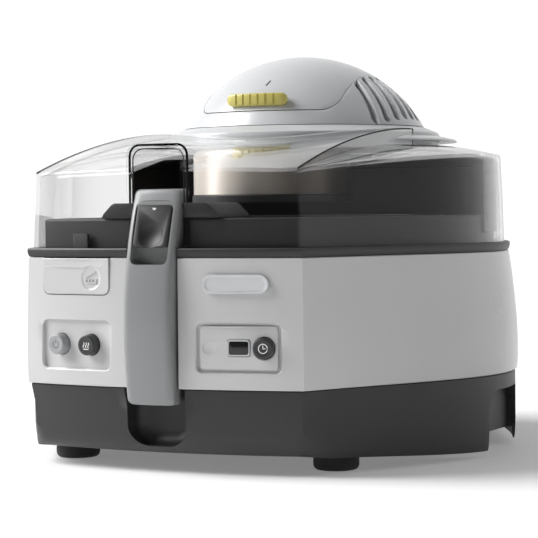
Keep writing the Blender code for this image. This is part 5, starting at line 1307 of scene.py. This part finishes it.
# A charcoal lining covers the back of the wall, and a second one the wings above it.
lining_abs = moulded("warm_charcoal_abs", "3E3B39", 0.42, 0.45, 0.01, 0.05)
picks = [i for i, (x, y) in enumerate(OUTLINE) if y > LINING_START - (LINING_REACH if x > 0 else 0.0)]
outside, inside = outline(8.2), outline(9.4)
bm = bmesh.new()
prism(bm, [outside[i] for i in picks] + [inside[i] for i in reversed(picks)], 'Z',
      HINGE_Z + GAP, LINING_TOP)
fit(shape("rear_lining_band", bm), lining_abs, "lid", ["rear_lining"], 0.5)
above = lid_rings(LID_WALL + 0.4, LID_WALL + 0.4, TRIM_TOP)[-LINING_RINGS:]
below = lid_rings(LID_WALL + 1.2, LID_WALL + 1.6, TRIM_TOP)[-LINING_RINGS:]
bm = bmesh.new()
loft(bm, [[ring[i] for ring in above] + [ring[i] for ring in reversed(below)] for i in picks])
fit(shape("rear_wing_lining", bm), lining_abs, "lid")

# ---------------------------------------------------------------- fan and heater housing
# Under the dome a warm stainless reflector hangs over the bowl, with the heating coil and the
# fan in it and a grained guard under them. The plate above carries the fan's motor.

SHIELD_RADIUS = 54.0
FAN_RADIUS = 38.0
PLATE_Z = WING_TOP - 2.4   # underside of the plate that carries fan and heater
SHIELD_BOTTOM = COLLAR_TOP + 15.0


def lit_to_shaded_across(material, bright, shaded_code, reach):
    """Paint light and shade across a steel's width: a painted highlight at one side fading to painted shade
    at the other, from -reach to reach in millimetres.
    """
    tree = material.node_tree
    place = add_node(tree, "ShaderNodeTexCoord")
    across = add_node(tree, "ShaderNodeSeparateXYZ", Vector=place.outputs["Object"])
    share = add_node(tree, "ShaderNodeMapRange", {"From Min": -reach * MM, "From Max": reach * MM},
                     Value=across.outputs["X"])
    painted_light_ramp = add_node(tree, "ShaderNodeValToRGB", Fac=share.outputs["Result"])
    painted_light_ramp.color_ramp.elements[0].position, painted_light_ramp.color_ramp.elements[1].position = 0.4, 0.9
    painted_light_ramp.color_ramp.elements[0].color, painted_light_ramp.color_ramp.elements[1].color = srgb(bright), srgb(shaded_code)
    shader = next(node for node in tree.nodes if node.type == 'BSDF_PRINCIPLED')
    shader.inputs["Metallic"].default_value = 0.6
    tree.links.new(painted_light_ramp.outputs["Color"], shader.inputs["Base Color"])
    return material


# The reflector's colour is painted light: bright on its left, fading to painted shade on its right.
brushed = lit_to_shaded_across(bright_steel("brushed_warm_stainless", "A89D92", 0.34, 0.5, (14.0, 14.0, 0.35)),
                      "F4EBE0", "6B645E", 0.9 * SHIELD_RADIUS)
oxide = bright_steel("oxidised_heater_sheath", "6E6A66", 0.5, 0.4, (0.6, 0.6, 0.6))
top = PLATE_Z - GAP
bm = bmesh.new()
turned(bm, [(6.0, top), (SHIELD_RADIUS - 4.0, top), (SHIELD_RADIUS - 1.6, top - 0.7),
            (SHIELD_RADIUS - 0.4, top - 2.2), (SHIELD_RADIUS, top - 4.0),
            (SHIELD_RADIUS, SHIELD_BOTTOM + 1.6), (SHIELD_RADIUS + 0.0, SHIELD_BOTTOM),
            (SHIELD_RADIUS - 1.0, SHIELD_BOTTOM), (SHIELD_RADIUS - 1.0, top - 4.2),
            (SHIELD_RADIUS - 2.0, top - 2.2), (SHIELD_RADIUS - 4.2, top - 1.0), (6.0, top - 1.0)], 128)
fit(shape("steel_reflector", bm, at(0.0, BOWL_Y, 0.0)), brushed, "lid", ["heat_shield"])
bm = bmesh.new()
turned(bm, [(FAN_RADIUS + 8.5 + x, SHIELD_BOTTOM + 12.0 + z) for x, z in circle(2.8, 16)], 96)
fit(shape("heating_coil", bm, at(0.0, BOWL_Y, 0.0)), oxide, "lid", ["upper_heater"])


def node_group(name, sizes):
    """A geometry node tree with named number inputs; returns it with its in and out nodes."""
    tree = bpy.data.node_groups.new(name, "GeometryNodeTree")
    tree.interface.new_socket("Geometry", in_out='INPUT', socket_type='NodeSocketGeometry')
    tree.interface.new_socket("Geometry", in_out='OUTPUT', socket_type='NodeSocketGeometry')
    for label, value in sizes.items():
        kind = 'NodeSocketInt' if isinstance(value, int) else 'NodeSocketFloat'
        socket = tree.interface.new_socket(label, in_out='INPUT', socket_type=kind)
        socket.default_value = value
    return tree, tree.nodes.new("NodeGroupInput"), tree.nodes.new("NodeGroupOutput")


def grow_from(name, source, tree, values):
    """Run a geometry node tree on a mesh and return the plain result."""
    obj = bpy.data.objects.new(name, source)
    scene.collection.objects.link(obj)
    change = obj.modifiers.new("repeat", 'NODES')
    change.node_group = tree
    for item in tree.interface.items_tree:
        if item.item_type == 'SOCKET' and item.in_out == 'INPUT' and item.name in values:
            change[item.identifier] = values[item.name]
    return settle(obj)


def ring_of(name, material, count, radius):
    """Copies of a mesh set round the Z axis, each turned to face outwards."""
    tree, start, end = node_group(name, {"Count": count, "Radius": radius})
    circle_node = add_node(tree, "GeometryNodeMeshCircle", Vertices=start.outputs["Count"],
                           Radius=start.outputs["Radius"])
    index = add_node(tree, "GeometryNodeInputIndex")
    step = add_node(tree, "ShaderNodeMath", {"operation": 'DIVIDE', 0: 2 * math.pi})
    tree.links.new(start.outputs["Count"], step.inputs[1])
    angle = add_node(tree, "ShaderNodeMath", {"operation": 'MULTIPLY'})
    tree.links.new(index.outputs[0], angle.inputs[0])
    tree.links.new(step.outputs[0], angle.inputs[1])
    spin = add_node(tree, "ShaderNodeCombineXYZ", Z=angle.outputs[0])
    copies = add_node(tree, "GeometryNodeInstanceOnPoints", Points=circle_node.outputs["Mesh"],
                      Instance=start.outputs["Geometry"], Rotation=spin.outputs["Vector"])
    real = add_node(tree, "GeometryNodeRealizeInstances", Geometry=copies.outputs["Instances"])
    finish = add_node(tree, "GeometryNodeSetMaterial", {"Material": material},
                      Geometry=real.outputs["Geometry"])
    tree.links.new(finish.outputs[0], end.inputs["Geometry"])
    return tree


def loose_mesh(name, bm, place=None):
    """A mesh for a node tree to copy; its object is dropped."""
    obj = shape(name, bm, place)
    mesh = obj.data
    bpy.data.objects.remove(obj)
    return mesh


blade = bmesh.new()
prism(blade, [(5.0, SHIELD_BOTTOM + 9.0), (FAN_RADIUS - 2.0, SHIELD_BOTTOM + 8.5),
              (FAN_RADIUS, SHIELD_BOTTOM + 10.0), (FAN_RADIUS, SHIELD_BOTTOM + 14.5),
              (FAN_RADIUS - 2.0, SHIELD_BOTTOM + 16.0), (5.0, SHIELD_BOTTOM + 17.0)], 'Y', -0.5, 0.5)
blades = grow_from("blades", loose_mesh("blade", blade), ring_of("fan_blades", drawn, 6, 0.0),
                   {"Count": 6, "Radius": 0.0})
hub = bmesh.new()
turned(hub, [(0.0, SHIELD_BOTTOM + 8.0), (6.0, SHIELD_BOTTOM + 8.0), (7.0, SHIELD_BOTTOM + 9.0),
             (7.0, SHIELD_BOTTOM + 18.0), (2.5, SHIELD_BOTTOM + 18.0), (2.5, PLATE_Z + 1.0),
             (0.0, PLATE_Z + 1.0)], 48, close=False)
rotor = carve(shape("bladed_fan", hub), [blades], 'UNION')
rotor.data.transform(Matrix.Translation((0.0, BOWL_Y * MM, 0.0)))
fit(rotor, drawn, "fan", ["fan"])

z1 = SHIELD_BOTTOM - GAP
bm = bmesh.new()
turned(bm, [(SHIELD_RADIUS + 1.0, z1 - 5.0), (SHIELD_RADIUS + 1.0, z1 - 0.6),
            (SHIELD_RADIUS + 0.4, z1), (SHIELD_RADIUS - 5.0, z1), (SHIELD_RADIUS - 5.0, z1 - 5.4),
            (SHIELD_RADIUS - 4.4, z1 - 6.0), (SHIELD_RADIUS, z1 - 6.0)], 96)
guard = shape("guard_ring", bm)
bars = []
for y in [SHIELD_RADIUS * (0.5 * i - 0.75) for i in range(4)]:
    reach = math.sqrt((SHIELD_RADIUS - 2.0) ** 2 - (abs(y) + 1.0) ** 2)
    bm = bmesh.new()
    prism(bm, rounded(y - 1.0, y + 1.0, z1 - 4.5, z1 - 2.0, 0.7, 3), 'X', -reach, reach)
    bars.append(shape("bar", bm))
carve(guard, bars, 'UNION').data.transform(Matrix.Translation((0.0, BOWL_Y * MM, 0.0)))
fit(guard, charcoal, "lid", ["fan_guard"])
dress(["motor_plate", "fan_motor"], drawn)

# ---------------------------------------------------------------- dome
# A silver-grey gloss dome in two pieces over a skirt: the shell with seven slanted vents on
# each side and a baffle behind them, and the insert across its middle that guides the power
# slider and bears a plain mark above it.

SLIDER_ANGLE = 12.0    # degrees each way
SLIDER_WIDTH = 42.0
SLIDER_HEIGHT = 8.6
SLIDER_STEM_ANGLE = 2.5
SLIDER_REACH = 7.0     # how far the slider stands out from the dome
DOME_WALL = 2.6
SKIRT_FLANGE = 108.0
VENTS_PER_SIDE = 7
VENT_PITCH = 11.0
VENT_WIDTH = 5.8
RIB_SHARE = 0.62       # how far across the slider its ribs reach
INSERT_HALF_WIDTH = 52.0
INSERT_LOW = DOME_BASE + 9.5
SLIDER_Z = DOME_BASE + 17.5


def dome_z(radius, inset=0.0):
    """Height of the dome's surface at a distance from its axis."""
    sphere = dome_sphere() - inset
    return DOME_TOP - dome_sphere() + math.sqrt(max(0.0, sphere ** 2 - radius ** 2))


def dome_sphere():
    return (DOME_RADIUS ** 2 + DOME_TOP_RISE ** 2) / (2 * DOME_TOP_RISE)


def dome_profile(outer, thickness, steps=7):
    """Closed profile of a spherical shell from the dome's base to its top."""
    outside = [(outer * math.cos(math.pi / 2 * i / steps)) for i in range(steps)] + [0.0]
    inner_edge = outer - thickness
    inside = [(inner_edge * math.cos(math.pi / 2 * i / steps)) for i in range(steps)] + [0.0]
    points = [(r, max(dome_z(r), DOME_BASE)) for r in outside]
    points += [(r, max(dome_z(r, thickness), DOME_BASE)) for r in reversed(inside)]
    return points


def dome_radius_at(z):
    """Distance from the dome's axis to its surface at a height."""
    up = z - (DOME_TOP - dome_sphere())
    return math.sqrt(dome_sphere() ** 2 - up ** 2)


def sector(bm, inner, outer, half_angle, z0, z1, steps=6):
    """Part of a flat ring about the Z axis, facing the front."""
    angles = [-math.pi / 2 - half_angle + 2 * half_angle * i / steps for i in range(steps + 1)]
    points = [(outer * math.cos(a), outer * math.sin(a)) for a in angles]
    points += [(inner * math.cos(a), inner * math.sin(a)) for a in reversed(angles)]
    prism(bm, points, 'Z', z0, z1)


bm = bmesh.new()
low, edge = WING_TOP - 2.0, WING_TOP + 2.6
turned(bm, [(SKIRT_RADIUS, low), (SKIRT_RADIUS, DOME_BASE - 6.4), (SKIRT_RADIUS - 0.5, DOME_BASE - 5.0),
            (SKIRT_RADIUS - 1.8, DOME_BASE - 4.0), (DOME_RADIUS + 2.4, DOME_BASE - 1.2),
            (DOME_RADIUS + 1.0, DOME_BASE - 0.6), (DOME_RADIUS - 0.2, DOME_BASE - GAP),
            (DOME_RADIUS - 5.0, DOME_BASE - GAP), (DOME_RADIUS - 5.0, DOME_BASE - 3.5),
            (SKIRT_RADIUS - 3.0, DOME_BASE - 7.0), (SKIRT_RADIUS - 3.0, low)], 128)
skirt = shape("dome_skirt_ring", bm, at(0.0, DOME_Y, 0.0))
bm = bmesh.new()
turned(bm, [(SKIRT_FLANGE, edge), (SKIRT_FLANGE - 0.3, edge + 0.9), (SKIRT_FLANGE - 1.4, edge + 1.7),
            (SKIRT_RADIUS + 4.0, edge + 3.4), (SKIRT_RADIUS - 2.0, edge + 4.6),
            (SKIRT_RADIUS - 2.0, edge)], 128)
flange = shape("flange", bm, at(0.0, DOME_Y, 0.0))
bm = bmesh.new()
block(bm, -HOOD_HALF - GAP, HOOD_HALF + GAP, DOME_Y - 2 * SKIRT_FLANGE, HOOD_END_Y + GAP,
      edge - 20.0, DOME_TOP)
carve(skirt, [carve(flange, [shape("deck_room", bm)])], 'UNION')
fit(skirt, grey_abs, "lid", ["dome_skirt"], angle=30)


def dome_shape(name):
    bm = bmesh.new()
    turned(bm, dome_profile(DOME_RADIUS, DOME_WALL, 24), 128)
    return shape(name, bm, at(0.0, DOME_Y, 0.0))


def insert_block(inset):
    bm = bmesh.new()
    reach = INSERT_HALF_WIDTH - inset
    prism(bm, rounded(-reach, reach, INSERT_LOW + inset, DOME_TOP + 20.0, 9.0 - inset, 10), 'Y',
          -2 * DOME_RADIUS, 2 * DOME_RADIUS)
    return shape("insert_block", bm, at(0.0, DOME_Y, 0.0))


def vent_row(side, wide, reach_in, reach_out):
    """Seven slanted round-ended slots on one side of the dome, as one mesh of cutters."""
    low, high = Vector((side * 86.0, -4.0, DOME_BASE + 7.0)), Vector((side * 50.0, 12.0, DOME_BASE + 34.0))
    outward = Vector((side, 0.0, 0.6)).normalized()
    up = (high - low).normalized()
    across = outward.cross(up).normalized()
    slot = rounded(0.0, (high - low).length, -wide / 2, wide / 2, wide / 2 - 0.1, 8)
    bm = bmesh.new()
    loft(bm, [[tuple(low + up * a + across * b + outward * depth) for a, b in slot]
              for depth in (reach_in, reach_out)])
    tree, start, end = node_group("vent_row", {"Count": VENTS_PER_SIDE, "First": 0.0, "Pitch": 0.011})
    first = add_node(tree, "ShaderNodeCombineXYZ", Y=start.outputs["First"])
    pitch = add_node(tree, "ShaderNodeCombineXYZ", Y=start.outputs["Pitch"])
    line = add_node(tree, "GeometryNodeMeshLine", Count=start.outputs["Count"],
                    Start_Location=first.outputs["Vector"], Offset=pitch.outputs["Vector"])
    copies = add_node(tree, "GeometryNodeInstanceOnPoints", Points=line.outputs["Mesh"],
                      Instance=start.outputs["Geometry"])
    real = add_node(tree, "GeometryNodeRealizeInstances", Geometry=copies.outputs["Instances"])
    finish = add_node(tree, "GeometryNodeSetMaterial", {"Material": grey_abs},
                      Geometry=real.outputs["Geometry"])
    tree.links.new(finish.outputs[0], end.inputs["Geometry"])
    first_y = (DOME_Y - VENT_PITCH * (VENTS_PER_SIDE - 1) / 2 - 5.0) * MM
    return grow_from("vents", loose_mesh("slot", bm), tree,
                     {"Count": VENTS_PER_SIDE, "First": first_y, "Pitch": VENT_PITCH * MM})


shell = carve(dome_shape("dome_outer"), [insert_block(0.0)])
carve(shell, [vent_row(-1, VENT_WIDTH, -14.0, 14.0), vent_row(1, VENT_WIDTH, -14.0, 14.0)])
fit(shell, grey_abs, "lid", ["dome_shell"], 0.5, angle=32)

# A baffle just inside the shell closes the view through its vents.
baffle_grey = moulded("baffle_grey_abs", "A9ABAD", 0.4, 0.5, 0.006, 0.02)
bm = bmesh.new()
reaches = [(DOME_RADIUS - DOME_WALL - 1.0) * math.cos(math.pi / 2 * i / 24) for i in range(19)]
turned(bm, [(r, max(dome_z(r, DOME_WALL + 0.5), DOME_BASE + 1.2)) for r in reaches]
       + [(r - 0.4, max(dome_z(r, DOME_WALL + 1.5), DOME_BASE + 0.6)) for r in reversed(reaches)], 96)
fit(carve(shape("vent_baffle", bm, at(0.0, DOME_Y, 0.0)), [insert_block(-0.5)]), baffle_grey, "lid")

middle = carve(dome_shape("dome_middle"), [insert_block(2 * GAP)], 'INTERSECT')
bm = bmesh.new()
travel = math.radians(SLIDER_ANGLE + SLIDER_STEM_ANGLE) + SLIDE_GAP / DOME_RADIUS
sector(bm, 20.0, 2 * DOME_RADIUS, travel, SLIDER_Z - 2.0 - SLIDE_GAP, SLIDER_Z + 2.0 + SLIDE_GAP, 24)
carve(middle, [shape("slider_slot", bm, at(0.0, DOME_Y, 0.0))])
fit(middle, grey_abs, "lid", ["dome_insert"], 0.4, angle=32)
mark = [(x, -math.sqrt(dome_radius_at(z) ** 2 - x * x) + DOME_Y, z)
        for x, z in ((0.6, SLIDER_Z + 10.0), (2.0, SLIDER_Z + 13.5))]
fit(bead("slider_mark", mark, 0.45, (1.0, 0.0, 0.0)), slate_ink, "lid")

# ---------------------------------------------------------------- power slider
# A lime ABS slide with upright ribs for the thumb; it runs round the front of the dome on a
# stem through the insert.

lime = moulded("lime_satin_abs", "D2C66B", 0.34, 0.5, 0.004, 0.02, 0.1)
face_radius = dome_radius_at(SLIDER_Z)
half_angle = SLIDER_WIDTH / 2 / face_radius
bm = bmesh.new()
rings = []
levels = ((1.0, 0.0), (SLIDER_REACH - 1.4, 0.0), (SLIDER_REACH - 0.45, 0.45), (SLIDER_REACH, 1.4))
for out, pull in levels:
    plan = rounded(-SLIDER_WIDTH / 2 + pull, SLIDER_WIDTH / 2 - pull, SLIDER_Z - SLIDER_HEIGHT / 2 + pull,
                   SLIDER_Z + SLIDER_HEIGHT / 2 - pull, 3.8 - pull, 8)
    plan = [(x, z) for x, z in plan if abs(x) > SLIDER_WIDTH / 2 - 4.0 - pull]
    low = [p for p in plan if p[1] < SLIDER_Z]
    high = [p for p in plan if p[1] >= SLIDER_Z]
    span = [(SLIDER_WIDTH / 2 - 4.6) * (i / 12 - 1) for i in range(25)]
    low = sorted(low + [(x, SLIDER_Z - SLIDER_HEIGHT / 2 + pull) for x in span])
    high = sorted(high + [(x, SLIDER_Z + SLIDER_HEIGHT / 2 - pull) for x in span], reverse=True)
    radius = face_radius + out
    rings.append([(radius * math.sin(x / face_radius), -radius * math.cos(x / face_radius), z)
                  for x, z in low + high])
loft(bm, rings, cap=False)
for ring in (rings[0], rings[-1]):
    row = [bm.verts.new(p) for p in ring]
    for i in range(len(row) // 2 - 1):
        bm.faces.new([row[i], row[i + 1], row[-2 - i], row[-1 - i]])
slide = shape("lime_slide", bm, at(0.0, DOME_Y, 0.0))
stem = bmesh.new()
sector(stem, face_radius - 10.0, face_radius + 3.0, math.radians(SLIDER_STEM_ANGLE), SLIDER_Z - 2.0,
       SLIDER_Z + 2.0)
grooves = []
for i in range(6):
    a = half_angle * RIB_SHARE * (i / 2.5 - 1)
    groove = bmesh.new()
    radius = face_radius + SLIDER_REACH + 0.15
    prism(groove, circle(0.95, 16, (radius * math.sin(a), -radius * math.cos(a))), 'Z',
          SLIDER_Z - 6.0, SLIDER_Z + 6.0)
    grooves.append(shape("groove", groove, at(0.0, DOME_Y, 0.0)))
carve(slide, [shape("stem", stem, at(0.0, DOME_Y, 0.0))], 'UNION')
carve(slide, grooves)
ball = bmesh.new()
sphere_z, sphere_r = DOME_TOP - dome_sphere(), dome_sphere() + SLIDE_GAP
turned(ball, [(0.0, sphere_z - sphere_r)] + [
    (sphere_r * math.cos(a), sphere_z + sphere_r * math.sin(a))
    for a in [math.radians(d) for d in range(-30, 90, 3)]] + [(0.0, sphere_z + sphere_r)], 96,
    close=False)
stem_room = bmesh.new()
sector(stem_room, 10.0, 3 * DOME_RADIUS, math.radians(SLIDER_STEM_ANGLE), SLIDER_Z - 2.0, SLIDER_Z + 2.0)
room = carve(shape("room", ball, at(0.0, DOME_Y, 0.0)),
             [shape("stem_room", stem_room, at(0.0, DOME_Y, 0.0))])
fit(carve(slide, [room]), lime, "power_slider", ["power_slider"], angle=30)
